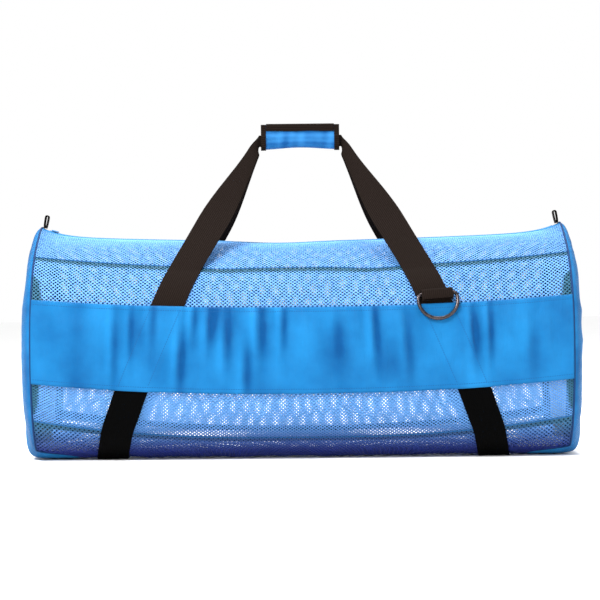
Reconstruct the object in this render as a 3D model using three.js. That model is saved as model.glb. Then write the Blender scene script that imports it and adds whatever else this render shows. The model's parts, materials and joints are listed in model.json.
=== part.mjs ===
// A barrel-shaped mesh duffel bag for dive gear, standing on its base with its handles up.
// Millimetres. X runs along the bag, -Y is the front, +Z is up, and the origin is the middle
// of the base at floor level.
import * as THREE from "three";

// Driving dimensions of the body
const BODY_LENGTH = 818; // between the two end seams
const BODY_DEPTH = 366; // front to back at the sagging middle
const END_DEPTH = 344; // front to back at the end seams
const CREST_HEIGHT = 335; // the zip line at the middle
const CREST_RISE = 11; // how much higher the zip line runs near the ends
const END_PEAK = 15; // the pointed tip that the end panel pushes up at the zip
const PEAK_REACH = 46; // how far that tip spreads to the front and back
const WIDEST_SHARE = 0.485; // where the section is widest, as a share of its height
const TOP_SQUARENESS = 2.15; // superellipse powers of the upper and lower half section
const BASE_SQUARENESS = 2.4;
const BASE_PRESS = 12; // how deep the round section is pressed flat by the floor
const END_BULGE = 23; // how far an end panel domes past its seam
const UNDER_TUCK = 64; // how far the end panel is folded under the bag
const TUCK_HEIGHT = 17; // height over which it folds under

// Cloth and webbing
const MESH_WALL = 1.2;
const NYLON_WALL = 1.2;
const TAPE_WALL = 1.1;
const WEB_WIDTH = 48;
const WEB_WALL = 1.8;
const SEAM_GAP = 0.3; // kept between sewn edges
const END_SEAM_GAP = 0.6; // and at the end seams, which slant under the bag
const LAYER_GAP = 0.4; // kept between layers that lie on each other
const BINDING_WIDTH = 11; // folded binding tape over the inner seam allowances
const BINDING_STOP = 0.02; // the long tapes stop this share of a column before the end tapes

// Band
const BAND_HEIGHT = 128.5;
const BAND_FOLD_HEIGHT = 5; // how far the band's gathers stand out
const FOLD_REACH = 0.5; // how far a gather spreads, as a share of the band's height

// Zip
const ZIP_TAPE_REACH = 16; // zip line to the outer edge of its tape
const ZIP_CHAIN_WIDTH = 6;
const ZIP_CHAIN_RISE = 1.6; // the coil stands proud of the tape
const ZIP_CHAIN_DROP = 1.0;
const SLIDER_LENGTH = 12;
const SLIDER_WIDTH = 9;
const SLIDER_NECK = 0.7; // its narrow end, as a share of its width
const SLIDER_HEIGHT = 2.4;
const SLIDER_PLACE = 19; // slider middle to the left end seam

// Loop tabs at the two ends of the zip
const TAB_HEIGHT = 21;
const TAB_WIDTH = 18;
const TAB_THICK = 6.6;
const TAB_WALL = 1.2;
const TAB_INSET = 3.5; // tab middle to end seam
const TAB_SEAT = 1.2; // tab foot above the tape
const TAB_LEAN = 0.4; // share of the tape's slope by which it leans inwards
const TAB_FOOT = 0.6; // half the gap between its feet, as a share of its radius
const TAB_WAIST = 0.55; // where its sides become straight, as a share of their height

// Handles
const HANDLE_TOP = 522; // top of the wrap above the floor
const WRAP_LENGTH = 124;
const WRAP_HEIGHT = 41;
const WRAP_BODY_HEIGHT = 25; // the part that holds the webbing; above it is the closing fin
const WRAP_THICK = 15;
const WRAP_FIN_THICK = 4.6;
const WRAP_WALL = 1.6;
const EDGING_WIDTH = 8; // black binding at the two ends of the wrap
const EDGING_FIN_HEIGHT = 12; // and along the fin
const EDGING_WALL = 1.1;
const EDGING_ROUND = 1; // the fin edging's upper corners are cut off by this much
const SHOULDER_RISE = 3; // the wrap widens from its fin to its body between this far above
const SHOULDER_DROP = 5; // and this far below the body's height
const GRIP_WEB_HEIGHT = 18; // webbing folded double inside the wrap
const GRIP_CLEARANCE = 3; // webbing to the lowest inside of the wrap
const GRIP_MARGIN = 3; // the webbing turns level this far before the wrap
const GRIP_WEB_WALL = 3.8;
const UNFOLD_LENGTH = 170; // length over which it opens to full width
const LEG_SLACK_LOW = 80; // handle lengths of the free leg's curve, low and high
const LEG_SLACK_HIGH = 45;
const LEG_UPTURN = 0.2; // how much steeper the leg runs as it reaches the wrap
const LEG_TURN = 0.75; // share by which the leg has turned to the wrap where it leaves the bag
const SQUARE_SHARE = 0.35; // share of the leg over which a level cut turns square

// Where a strap's middle runs: its distance from the bag's middle at each line,
// as a share of half the body length
const STRAP_ROUTE = {
  baseMiddle: 0.722,
  floorLine: 0.722,
  bottomSeam: 0.691,
  bandBottom: 0.631,
  bandTop: 0.496,
  topSeam: 0.428,
};

// Shoulder-strap ring at the front right
const RING_INNER_WIDTH = 54;
const RING_WIRE = 5.4;
const RING_HEIGHT = 43; // bar middle to the outside of the bow
const RING_CORNER = 7;
const RING_TILT = 5; // degrees that the bar slopes up to the right
const RING_SIDES = 8;
const RING_SHIFT = 1.3; // ring middle past the strap's middle
const BAR_ABOVE_BAND = 14.5; // bar middle above the band's top edge
const LOOP_WIDTH = 48;
const LOOP_END_GAP = 3; // loop ends to the band's top edge
const LOOP_FLAT = 0.4; // share of the loop's tail that lies flat
const LOOP_SLACK = 3; // the loop stands this much higher than a tight one
const RING_REST_GAP = 0.4; // the hanging bow to the band
const RING_REST_SHARES = [0.35, 0.5, 0.65, 0.8, 0.9, 1]; // where its rest on the band is tried,
const RING_REST_SIDES = [-0.5, 0, 0.5]; // down the ring and across it
const RING_REST_TAPER = 1.3; // how fast the bow closes in between them

// Heights of the seam and band lines at the bag's middle, and how much higher each
// runs at the ends, as shares of the crest height
const LINES = {
  topSeam: { middle: 0.875, lift: 0.06 },
  bandTop: { middle: 0.692, lift: 0.045 },
  bottomSeam: { middle: 0.099, lift: 0.093 },
};
const BAND_BOTTOM_LIFT = 0.054;
const LIFT_POWER = 2.3;
const FLOOR_TOUCH = 0.02; // the base counts as flat this high above its level

// Dents of the slack cloth: place along as a share of half the length, place around as a
// share of half the girth from the zip, reach in shares of the same, depth as a share of
// the body depth. side is -1 for the front, 1 for the back and 0 for both.
const DENTS = [
  { side: 0, along: -0.1, around: 0.02, reachAlong: 0.16, reachAround: 0.13, depth: 0.008 },
  { side: -1, along: -0.3, around: 0.2, reachAlong: 0.12, reachAround: 0.09, depth: 0.011 },
  { side: -1, along: 0.27, around: 0.21, reachAlong: 0.11, reachAround: 0.1, depth: 0.013 },
  { side: -1, along: 0.02, around: 0.82, reachAlong: 0.3, reachAround: 0.08, depth: 0.014 },
  { side: 1, along: 0.22, around: 0.22, reachAlong: 0.14, reachAround: 0.1, depth: 0.012 },
  { side: 1, along: -0.34, around: 0.24, reachAlong: 0.12, reachAround: 0.1, depth: 0.01 },
];

const DENT_FADE = 40; // dents end at the base and begin this high above it

// Gathers of the band between the straps' stitching: place along as a share of half the
// length at the band's top and bottom edge, width as a share of half the length, height as
// a share of BAND_FOLD_HEIGHT, and the share of the band's height where the fold is deepest
const FOLDS = [
  { top: -0.72, bottom: -0.76, width: 0.045, height: 0.35, crest: 0.4 },
  { top: -0.34, bottom: -0.43, width: 0.035, height: 0.85, crest: 0.45 },
  { top: -0.24, bottom: -0.25, width: 0.035, height: 1.0, crest: 0.3 },
  { top: -0.13, bottom: -0.15, width: 0.035, height: 0.8, crest: 0.35 },
  { top: -0.02, bottom: 0.0, width: 0.04, height: 0.5, crest: 0.3 },
  { top: 0.1, bottom: 0.12, width: 0.035, height: 0.6, crest: 0.35 },
  { top: 0.26, bottom: 0.27, width: 0.035, height: 0.9, crest: 0.3 },
  { top: 0.36, bottom: 0.42, width: 0.03, height: 0.7, crest: 0.5 },
  { top: 0.74, bottom: 0.72, width: 0.045, height: 0.4, crest: 0.45 },
];

// Steps over which slopes are read
const SLOPE_STEP = 4; // of a strap's route, in running length
const NORMAL_STEP = 2.5; // of the cloth across the bag, in running length
const NORMAL_SHARE = 0.004; // and along it, as a share of half the length
const ZIP_SHARE = 0.01; // of the zip line, as a share of half the length

// How finely the faceted walls are cut
const PROFILE_STEPS = 150;
const LEG_STEPS = 12;
const END_RINGS = [0, 0.45, 0.72, 0.87, 0.95, 0.985, 1];

// Columns of the walls on the right half, as shares of the stretch from the bag's middle to
// the strap, of the strap's own width, and of the stretch from the strap to the end binding
const COLUMN_SHARES = {
  middle: [0, 0.22, 0.44, 0.64, 0.83],
  strap: [0, 0.5, 1],
  end: [0.4, 0.75, 1],
};
const BULGE_SQUARENESS = { side: 5, under: 8 };
const BULGE_ROUNDNESS = { side: 2, under: 10 };

const HALF_LENGTH = BODY_LENGTH / 2;
const FRONT = -1;
const BACK = 1;
const BASE_LEVEL = WEB_WALL + LAYER_GAP; // the straps run under the bag
const BAND_LIFT = LAYER_GAP + WEB_WALL + LAYER_GAP; // the band is sewn on over the straps

const clampShare = (t) => Math.min(1, Math.max(0, t));
const smooth = (t) => clampShare(t) ** 2 * (3 - 2 * clampShare(t));
const mix = (a, b, t) => a + (b - a) * t;
const bell = (distance, reach) => Math.exp(-((distance / reach) ** 2));

// Body surface

// Half a cross-section, from the zip line down to the middle of the base, at a share of
// half the length: points (out, z) with their running length.
const sectionCache = new Map();
function halfSection(share) {
  const key = share.toFixed(6);
  if (sectionCache.has(key)) return sectionCache.get(key);
  const halfDepth = mix(BODY_DEPTH, END_DEPTH, share ** 2) / 2;
  const crest = CREST_HEIGHT + CREST_RISE * share ** 1.5;
  const widest = crest * WIDEST_SHARE;
  const points = [];
  for (let i = 0; i <= PROFILE_STEPS; i++) {
    const angle = (Math.PI * i) / PROFILE_STEPS;
    const upper = angle <= Math.PI / 2;
    const power = 2 / (upper ? TOP_SQUARENESS : BASE_SQUARENESS);
    const out = halfDepth * Math.sin(angle) ** power;
    const rise = Math.abs(Math.cos(angle)) ** power;
    let z = upper ? mix(widest, crest, rise) : mix(widest, -BASE_PRESS, rise);
    z += END_PEAK * share ** 14 * bell(out, PEAK_REACH);
    points.push({ out: i === PROFILE_STEPS ? 0 : out, z: Math.max(z, BASE_LEVEL), run: 0 });
  }
  for (let i = 1; i < points.length; i++) {
    const step = Math.hypot(points[i].out - points[i - 1].out, points[i].z - points[i - 1].z);
    points[i].run = points[i - 1].run + step;
  }
  sectionCache.set(key, points);
  return points;
}

// The point of a half section after a running length.
function sectionAt(share, run) {
  const points = halfSection(share);
  let low = 0;
  let high = points.length - 1;
  while (high - low > 1) {
    const half = (low + high) >> 1;
    if (points[half].run <= run) low = half;
    else high = half;
  }
  const t = (run - points[low].run) / Math.max(points[high].run - points[low].run, 1e-9);
  return { out: mix(points[low].out, points[high].out, t), z: mix(points[low].z, points[high].z, t) };
}

const girth = (share) => halfSection(share)[PROFILE_STEPS].run;

// The running length at which a half section comes down to a height.
function runAtHeight(share, height) {
  const points = halfSection(share);
  const below = points.findIndex((p) => p.z <= height);
  const [above, under] = [points[below - 1], points[below]];
  return mix(above.run, under.run, (above.z - height) / (above.z - under.z));
}

// Running length from the zip line to each named line, at a place along the bag.
function lineRun(name, along) {
  const share = Math.abs(along);
  const lift = share ** LIFT_POWER * CREST_HEIGHT;
  if (name === "zipLine") return 0;
  if (name === "baseMiddle") return girth(share);
  if (name === "floorLine") return runAtHeight(share, BASE_LEVEL + FLOOR_TOUCH);
  if (name === "bandBottom") {
    const height = CREST_HEIGHT * LINES.bandTop.middle - BAND_HEIGHT;
    return runAtHeight(share, height + BAND_BOTTOM_LIFT * lift);
  }
  return runAtHeight(share, CREST_HEIGHT * LINES[name].middle + LINES[name].lift * lift);
}

const tuckAt = (z) => UNDER_TUCK * smooth((TUCK_HEIGHT - z) / (TUCK_HEIGHT - BASE_LEVEL));
const halfLengthAt = (along, run) => HALF_LENGTH - tuckAt(sectionAt(Math.abs(along), run).z);

function dentDepth(side, along, run) {
  const around = run / girth(Math.abs(along));
  let depth = 0;
  for (const dent of DENTS) {
    if (dent.side !== 0 && dent.side !== side) continue;
    const away = bell(along - dent.along, dent.reachAlong) * bell(around - dent.around, dent.reachAround);
    depth += dent.depth * BODY_DEPTH * away;
  }
  return depth;
}

// A point of the undented outer cloth: along is -1 to 1 between the end seams, run is the
// length from the zip line, and side is the front or the back.
function smoothPoint(side, along, run) {
  const { out, z } = sectionAt(Math.abs(along), run);
  return new THREE.Vector3(along * halfLengthAt(along, run), side * out, z);
}

function outwardNormal(side, along, run) {
  const limit = girth(Math.abs(along));
  const [lowAlong, highAlong] = [Math.max(along - NORMAL_SHARE, -1), Math.min(along + NORMAL_SHARE, 1)];
  const [lowRun, highRun] = [Math.max(run - NORMAL_STEP, 0), Math.min(run + NORMAL_STEP, limit)];
  const lengthwise = smoothPoint(side, highAlong, run).sub(smoothPoint(side, lowAlong, run));
  const around = smoothPoint(side, along, highRun).sub(smoothPoint(side, along, lowRun));
  if (run < NORMAL_STEP) around.set(0, side, 0); // level across the zip line
  if (run > limit - NORMAL_STEP) around.set(0, -side, 0); // and across the base
  return lengthwise.cross(around).multiplyScalar(side).normalize();
}

// A point of the dented surface, lifted off it by a distance.
function surfacePoint(side, along, run, lift) {
  const point = smoothPoint(side, along, run);
  const dent = dentDepth(side, along, run) * smooth((point.z - BASE_LEVEL) / DENT_FADE);
  return point.addScaledVector(outwardNormal(side, along, run), lift - dent);
}

// Closed bodies

// Joins rings of points into one closed body. Each ring runs once round the section, out
// over one face and back over the other, whose quads are split the same way so that layers
// on one grid stay parallel. From the pair turnedFrom on they are split the other way. Open
// ends are capped by joining point i to point n - 1 - i; poles says that the first and last
// point of every ring are shared, as at the middle of a disc.
function bodyFromRings(rings, { loop = false, poles = false, turnedFrom = Infinity } = {}) {
  const triangles = [];
  const quad = (a, b, c, d, turned) =>
    turned ? triangles.push([a, b, d], [b, c, d]) : triangles.push([a, b, c], [a, c, d]);
  const count = rings[0].length;
  const pairs = loop ? rings.length : rings.length - 1;
  for (let i = 0; i < pairs; i++) {
    const [near, far] = [rings[i], rings[(i + 1) % rings.length]];
    for (let k = 0; k < (poles ? count - 1 : count); k++) {
      const next = (k + 1) % count;
      const turned = !loop && k >= count / 2 !== i >= turnedFrom;
      quad(near[k], near[next], far[next], far[k], turned);
    }
  }
  if (!loop) {
    for (const [ring, turned] of [[rings[0], true], [rings[rings.length - 1], false]]) {
      for (let k = 0; k < count / 2 - 1; k++) {
        const corners = [ring[k], ring[k + 1], ring[count - 2 - k], ring[count - 1 - k]];
        quad(...(turned ? corners.reverse() : corners));
      }
    }
  }
  const kept = triangles.filter(([a, b, c]) => {
    const edges = [a.distanceTo(b), b.distanceTo(c), c.distanceTo(a)];
    return Math.min(...edges) > 1e-3;
  });
  let volume = 0;
  for (const [a, b, c] of kept) volume += a.dot(b.clone().cross(c));
  const positions = [];
  for (const [a, b, c] of kept) {
    for (const p of volume > 0 ? [a, b, c] : [a, c, b]) positions.push(p.x, p.y, p.z);
  }
  const geometry = new THREE.BufferGeometry();
  geometry.setAttribute("position", new THREE.Float32BufferAttribute(positions, 3));
  geometry.computeVertexNormals();
  return geometry;
}

// A row is the running length of a line as a function of the place along the bag.
const row = (name, past = 0) => (along) => lineRun(name, along) + past;
const between = (low, high, t) => (along) => mix(low(along), high(along), t);
const spread = (low, high, count) =>
  Array.from({ length: count + 1 }, (_, i) => between(low, high, i / count));

const HALF_GAP = SEAM_GAP / 2;
const topRows = spread(row("zipLine", ZIP_TAPE_REACH + HALF_GAP), row("topSeam", -HALF_GAP), 3);
const bandRows = spread(row("bandTop"), row("bandBottom"), 4);
const sideRows = [
  row("topSeam", HALF_GAP),
  row("topSeam", BINDING_WIDTH + HALF_GAP),
  ...bandRows,
  row("bottomSeam", -BINDING_WIDTH - HALF_GAP),
  row("bottomSeam", -HALF_GAP),
];
const floorRow = row("floorLine");
const underRows = [
  row("bottomSeam", HALF_GAP),
  row("bottomSeam", BINDING_WIDTH + HALF_GAP),
  between(row("bottomSeam", BINDING_WIDTH), floorRow, 0.5),
  between(row("bottomSeam", BINDING_WIDTH), floorRow, 0.75),
  floorRow,
  row("baseMiddle"),
];

// Distance of a strap's middle from the bag's middle after a running length.
const route = Object.entries(STRAP_ROUTE).map(([name, share]) => ({
  run: lineRun(name, share),
  x: share * HALF_LENGTH,
}));
function strapX(run) {
  const after = route.findIndex((node) => run >= node.run);
  if (after === 0) return route[0].x;
  if (after < 0) return route[route.length - 1].x;
  const [from, to] = [route[after - 1], route[after]];
  return mix(from.x, to.x, (from.run - run) / (from.run - to.run));
}

// Distances from the bag's middle of all right-hand columns at a row. The strap's two edges
// are columns, so each layer over or under a strap has the strap's own facets.
const placesOfRow = new Map();
function columnPlaces(rowAt) {
  if (placesOfRow.has(rowAt)) return placesOfRow.get(rowAt);
  const run = rowAt(strapX(rowAt(STRAP_ROUTE.bandBottom)) / HALF_LENGTH);
  const x = strapX(run);
  const slope = (strapX(run + SLOPE_STEP) - strapX(run - SLOPE_STEP)) / (2 * SLOPE_STEP);
  const halfCut = (WEB_WIDTH / 2) * Math.hypot(1, slope);
  const end = halfLengthAt(1, rowAt(1));
  const places = [
    ...COLUMN_SHARES.middle.map((share) => (x - halfCut) * share),
    ...COLUMN_SHARES.strap.map((share) => mix(x - halfCut, x + halfCut, share)),
    ...COLUMN_SHARES.end.map((share) => mix(x + halfCut, end - BINDING_WIDTH, share)),
    end,
  ];
  placesOfRow.set(rowAt, places);
  return places;
}

const LAST_COLUMN = Object.values(COLUMN_SHARES).flat().length;
const STRAP_COLUMNS = COLUMN_SHARES.strap.map((_, i) => COLUMN_SHARES.middle.length + i);
const columnsTo = (last) => {
  const right = [...Array(Math.floor(last)).keys()].map((i) => i + 1);
  if (last > Math.floor(last)) right.push(last);
  return [...right.map((column) => -column).reverse(), 0, ...right];
};
const COLUMNS = columnsTo(LAST_COLUMN);
const halved = (columns) =>
  columns.flatMap((column, i) => (i === 0 ? [column] : [(column + columns[i - 1]) / 2, column]));

// A point of the grid of rows and columns. A place between two columns lies on the straight
// line between them, as on the facets.
function gridPoint(side, rowAt, column, lift) {
  const low = Math.floor(column);
  if (column > low) {
    const near = gridPoint(side, rowAt, low, lift);
    return near.lerp(gridPoint(side, rowAt, low + 1, lift), column - low);
  }
  if (Math.abs(column) === LAST_COLUMN) {
    const end = Math.sign(column);
    return surfacePoint(side, end, rowAt(end), lift);
  }
  const x = Math.sign(column) * columnPlaces(rowAt)[Math.abs(column)];
  const guess = x / HALF_LENGTH;
  const along = x / halfLengthAt(guess, rowAt(guess));
  return surfacePoint(side, along, rowAt(along), lift);
}

// A wall between lift - thickness and lift, over cells given as [side, row] from one edge to
// the other. rise adds to the lift at a place along the bag and a share of the way across.
function wall(cells, columns, lift, thickness, rise = () => 0) {
  const rings = columns.map((column) => {
    const face = (level) =>
      cells.map(([side, rowAt], i) => {
        const along = gridPoint(side, rowAt, column, level).x / HALF_LENGTH;
        return gridPoint(side, rowAt, column, level + rise(along, i / (cells.length - 1)));
      });
    return [...face(lift), ...face(lift - thickness).reverse()];
  });
  return bodyFromRings(rings, { turnedFrom: columns.indexOf(0) });
}

// A panel's rows in order round the section: down the front, across the base, up the back.
const onSide = (side, rows) => (side === FRONT ? rows : [...rows].reverse()).map((rowAt) => [side, rowAt]);
const acrossBase = () => [...onSide(FRONT, underRows), ...onSide(BACK, underRows.slice(0, -1))];

// Band gathers: each fold is a soft ridge from the band's top edge to its bottom edge that
// stands out most between them.
const foldRise = (side) => (along, across) => {
  const down = side === FRONT ? across : 1 - across;
  let height = 0;
  for (const fold of FOLDS) {
    const middle = mix(fold.top, fold.bottom, down) * -side;
    const strength = bell(down - fold.crest, FOLD_REACH) * fold.height;
    height += BAND_FOLD_HEIGHT * strength * bell(along - middle, fold.width);
  }
  return height;
};

// End panels and their bindings

// Every row that a panel has, once round from the zip line over the front, the base and the
// back, so that the rim of an end panel meets the panels point for point.
function rimStations() {
  const rows = [row("zipLine"), ...topRows, ...sideRows.slice(1), ...underRows.slice(1)];
  return [...onSide(FRONT, rows), ...onSide(BACK, rows.slice(1, -1))];
}

// A dome over the end seam. At each station round the rim its profile runs from the middle
// to the rim as a superellipse, squarer where it is folded under the bag.
function endPanel(end) {
  const middleHeight = CREST_HEIGHT * WIDEST_SHARE;
  const shell = (inset) => (side, rowAt, ring) => {
    const run = rowAt(end);
    const rim = surfacePoint(side, end, run, -inset);
    const seamX = Math.abs(rim.x) + END_SEAM_GAP;
    const tucked = tuckAt(sectionAt(1, run).z) / UNDER_TUCK;
    const squareness = mix(BULGE_SQUARENESS.side, BULGE_SQUARENESS.under, tucked);
    const roundness = mix(BULGE_ROUNDNESS.side, BULGE_ROUNDNESS.under, tucked);
    const height = HALF_LENGTH + END_BULGE - inset - seamX;
    const x = seamX + height * (1 - ring ** squareness) ** (1 / roundness);
    return new THREE.Vector3(end * x, rim.y * ring, mix(middleHeight, rim.z, ring));
  };
  const rings = rimStations().map(([side, rowAt]) => {
    const outer = END_RINGS.map((ring) => shell(0)(side, rowAt, ring));
    const inner = END_RINGS.map((ring) => shell(NYLON_WALL)(side, rowAt, ring));
    return [...outer, ...inner.reverse()];
  });
  return bodyFromRings(rings, { loop: true, poles: true });
}

// Binding tape that lies on the inside of the panels, along one end seam.
function endBinding(end) {
  const lift = -MESH_WALL - LAYER_GAP;
  const loop = (column, level) => rimStations().map(([side, rowAt]) => gridPoint(side, rowAt, column, level));
  const [seam, inner] = [end * LAST_COLUMN, end * (LAST_COLUMN - 1)];
  const under = lift - TAPE_WALL;
  const corners = [[seam, lift], [inner, lift], [inner, under], [seam, under]];
  return bodyFromRings(corners.map(([column, level]) => loop(column, level)), { loop: true });
}

// Binding tape along a long seam, on the inside of the panel. It stops short of the end
// binding.
function longBinding(side, rows) {
  const columns = columnsTo(LAST_COLUMN - 1 - BINDING_STOP);
  return wall(onSide(side, rows), columns, -MESH_WALL - LAYER_GAP, TAPE_WALL);
}

// Webbing

// The ring of a strap along a row: inner edge, middle and outer edge on its lower face,
// then back over its upper face. On the back it runs the other way round.
function strapOnSurface(side, end, rowAt) {
  const columns = STRAP_COLUMNS.map((column) => end * column);
  if (side === BACK) columns.reverse();
  const face = (lift) => columns.map((column) => gridPoint(side, rowAt, column, lift));
  return [...face(LAYER_GAP), ...face(LAYER_GAP + WEB_WALL).reverse()];
}

const stationMiddle = (ring) => ring[1].clone().add(ring[4]).multiplyScalar(0.5);
const stationNormal = (ring) => ring[4].clone().sub(ring[1]).normalize();

const GRIP_LEVEL = HANDLE_TOP - WRAP_HEIGHT + WRAP_WALL + GRIP_CLEARANCE + GRIP_WEB_HEIGHT / 2;
const GRIP_OFFSET = (GRIP_WEB_WALL + LAYER_GAP) / 2;

// The free leg of a handle, from the strap's last ring on the bag to the end of the wrap: a
// cubic curve whose webbing turns upright and folds double as it nears the wrap.
function handleLeg(side, end, lastRing, previousRing) {
  const start = stationMiddle(lastRing);
  const climb = start.clone().sub(stationMiddle(previousRing)).normalize();
  const grip = new THREE.Vector3(end * (WRAP_LENGTH / 2 + GRIP_MARGIN), side * GRIP_OFFSET, GRIP_LEVEL);
  const toGrip = grip.clone().sub(start).normalize();
  const leaving = climb.lerp(toGrip, LEG_TURN).normalize();
  const arriving = toGrip.clone().add(new THREE.Vector3(0, 0, LEG_UPTURN)).normalize();
  const curve = new THREE.CubicBezierCurve3(
    start,
    start.clone().addScaledVector(leaving, LEG_SLACK_LOW),
    grip.clone().addScaledVector(arriving, -LEG_SLACK_HIGH),
    grip,
  );
  const length = curve.getLength();
  const startNormal = stationNormal(lastRing);
  const gripNormal = new THREE.Vector3(0, side, 0);
  const startAcross = lastRing[0].clone().sub(lastRing[2]).multiplyScalar(0.5);
  const rings = [];
  for (let i = 1; i <= LEG_STEPS; i++) {
    const t = i / LEG_STEPS;
    const middle = curve.getPointAt(t);
    const path = curve.getTangentAt(t);
    if (i === LEG_STEPS) path.set(-end, 0, 0); // turned level at the wrap
    const normal = startNormal.clone().lerp(gripNormal, smooth(t));
    normal.addScaledVector(path, -normal.dot(path)).normalize();
    const folded = smooth(1 - ((1 - t) * length) / UNFOLD_LENGTH);
    const square = path.clone().cross(normal).multiplyScalar(mix(WEB_WIDTH, GRIP_WEB_HEIGHT, folded) / 2);
    if (square.dot(startAcross) < 0) square.negate();
    const across = startAcross.clone().lerp(square, smooth(t / SQUARE_SHARE));
    const depth = normal.multiplyScalar(mix(WEB_WALL, GRIP_WEB_WALL, folded) / 2);
    const at = (edge, face) => middle.clone().addScaledVector(across, edge).addScaledVector(depth, face);
    rings.push([at(1, -1), at(0, -1), at(-1, -1), at(-1, 1), at(0, 1), at(1, 1)]);
  }
  return rings;
}

// The rows that a strap crosses on its way up from the floor, the same as the panels have.
const strapRows = [
  ...underRows.slice(1, -1).reverse(),
  row("bottomSeam"),
  ...sideRows.slice(1, -1).reverse(),
];

// One handle strap: up the left of a side, through the wrap and down the right.
function handleStrap(side) {
  const [left, right] = [-1, 1].map((end) => {
    const onBag = strapRows.map((rowAt) => strapOnSurface(side, end, rowAt));
    return [...onBag, ...handleLeg(side, end, onBag[onBag.length - 1], onBag[onBag.length - 2])];
  });
  return bodyFromRings([...left, ...right.reverse()], { turnedFrom: left.length });
}

// The webbing under the bag, between the front and the back strap of one end.
function underStrap(end) {
  const edges = [FRONT, BACK].flatMap((side) => strapOnSurface(side, end, floorRow));
  const reach = Math.min(...edges.map((p) => Math.abs(p.y))) - SEAM_GAP;
  const geometry = new THREE.BoxGeometry(WEB_WIDTH, 2 * reach, WEB_WALL);
  return geometry.translate(end * STRAP_ROUTE.floorLine * HALF_LENGTH, 0, WEB_WALL / 2);
}

// Handle wrap

// Outline of the wrap's outer face from the front of the fin, round the bottom, to the back
// of the fin, grown outwards by a distance.
function wrapOutline(grow) {
  const bottom = HANDLE_TOP - WRAP_HEIGHT;
  const halfFin = WRAP_FIN_THICK / 2 + grow;
  const halfBody = WRAP_THICK / 2 + grow;
  const shoulder = bottom + WRAP_BODY_HEIGHT;
  const front = [
    [-halfFin, HANDLE_TOP - EDGING_WALL - LAYER_GAP],
    [-halfFin, shoulder + SHOULDER_RISE],
    [-halfBody, shoulder - SHOULDER_DROP],
    [-halfBody, bottom + WRAP_THICK / 2],
  ];
  for (const degrees of [30, 60]) {
    const angle = THREE.MathUtils.degToRad(degrees);
    front.push([-halfBody * Math.cos(angle), bottom + WRAP_THICK / 2 - halfBody * Math.sin(angle)]);
  }
  const middle = [[0, bottom - grow]];
  const back = [...front].reverse().map(([y, z]) => [-y, z]);
  return [...front, ...middle, ...back];
}

// A sleeve that follows the wrap's outline from one place along it to another.
function wrapSleeve(fromX, toX, grow, thickness) {
  const outer = wrapOutline(grow);
  const inner = wrapOutline(grow - thickness);
  const rings = [fromX, toX].map((x) => {
    const points = [...outer, ...[...inner].reverse()];
    return points.map(([y, z]) => new THREE.Vector3(x, y, z));
  });
  return bodyFromRings(rings);
}

// Edging folded over the top of the fin, between the two end edgings.
function finEdging() {
  const half = WRAP_FIN_THICK / 2 + LAYER_GAP;
  const reach = WRAP_LENGTH / 2 - EDGING_WIDTH - SEAM_GAP;
  const low = HANDLE_TOP - EDGING_FIN_HEIGHT;
  const profile = (grow, drop) => [
    [-half - grow, low],
    [-half - grow, HANDLE_TOP - drop - grow],
    [-half + EDGING_ROUND, HANDLE_TOP - drop],
    [half - EDGING_ROUND, HANDLE_TOP - drop],
    [half + grow, HANDLE_TOP - drop - grow],
    [half + grow, low],
  ];
  const rings = [-reach, reach].map((x) => {
    const points = [...profile(EDGING_WALL, 0), ...profile(0, EDGING_WALL).reverse()];
    return points.map(([y, z]) => new THREE.Vector3(x, y, z));
  });
  return bodyFromRings(rings);
}

// Zip

function zipChain() {
  const columns = columnsTo(LAST_COLUMN - 1);
  const edge = () => ZIP_CHAIN_WIDTH / 2 - SEAM_GAP;
  const cells = [[BACK, edge], [FRONT, () => 0], [FRONT, edge]];
  return wall(cells, columns, ZIP_CHAIN_RISE, ZIP_CHAIN_RISE + ZIP_CHAIN_DROP);
}

const zipTape = (side) => {
  const rows = [() => ZIP_CHAIN_WIDTH / 2, () => ZIP_TAPE_REACH - HALF_GAP];
  return wall(onSide(side, rows), COLUMNS, 0, TAPE_WALL);
};

// A place on the zip line: the point lifted off the tape, and the slope there.
function zipPlace(along, lift) {
  const [behind, ahead] = [-ZIP_SHARE, ZIP_SHARE].map((step) => surfacePoint(FRONT, along + step, 0, 0));
  return {
    seat: surfacePoint(FRONT, along, 0, lift),
    slope: Math.atan2(ahead.z - behind.z, ahead.x - behind.x),
  };
}

// A plain slider that lies along the last facet of the coil, at its left end.
function zipSlider() {
  const half = SLIDER_WIDTH / 2;
  const neck = half * SLIDER_NECK;
  const nose = new THREE.Shape();
  nose.moveTo(-SLIDER_LENGTH / 2, -neck);
  nose.lineTo(SLIDER_LENGTH / 2 - half, -half);
  nose.absarc(SLIDER_LENGTH / 2 - half, 0, half, -Math.PI / 2, Math.PI / 2, false);
  nose.lineTo(-SLIDER_LENGTH / 2, neck);
  nose.closePath();
  const geometry = new THREE.ExtrudeGeometry(nose, {
    depth: SLIDER_HEIGHT,
    bevelEnabled: false,
    curveSegments: 6,
  });
  const zipLine = row("zipLine");
  const [coilEnd, inner] = [LAST_COLUMN - 1, LAST_COLUMN - 2].map((column) =>
    gridPoint(FRONT, zipLine, -column, ZIP_CHAIN_RISE + LAYER_GAP),
  );
  geometry.rotateY(-Math.atan2(inner.z - coilEnd.z, inner.x - coilEnd.x));
  const seat = coilEnd.clone().lerp(inner, (SLIDER_PLACE - BINDING_WIDTH) / (inner.x - coilEnd.x));
  return geometry.translate(seat.x, seat.y, seat.z);
}

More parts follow.
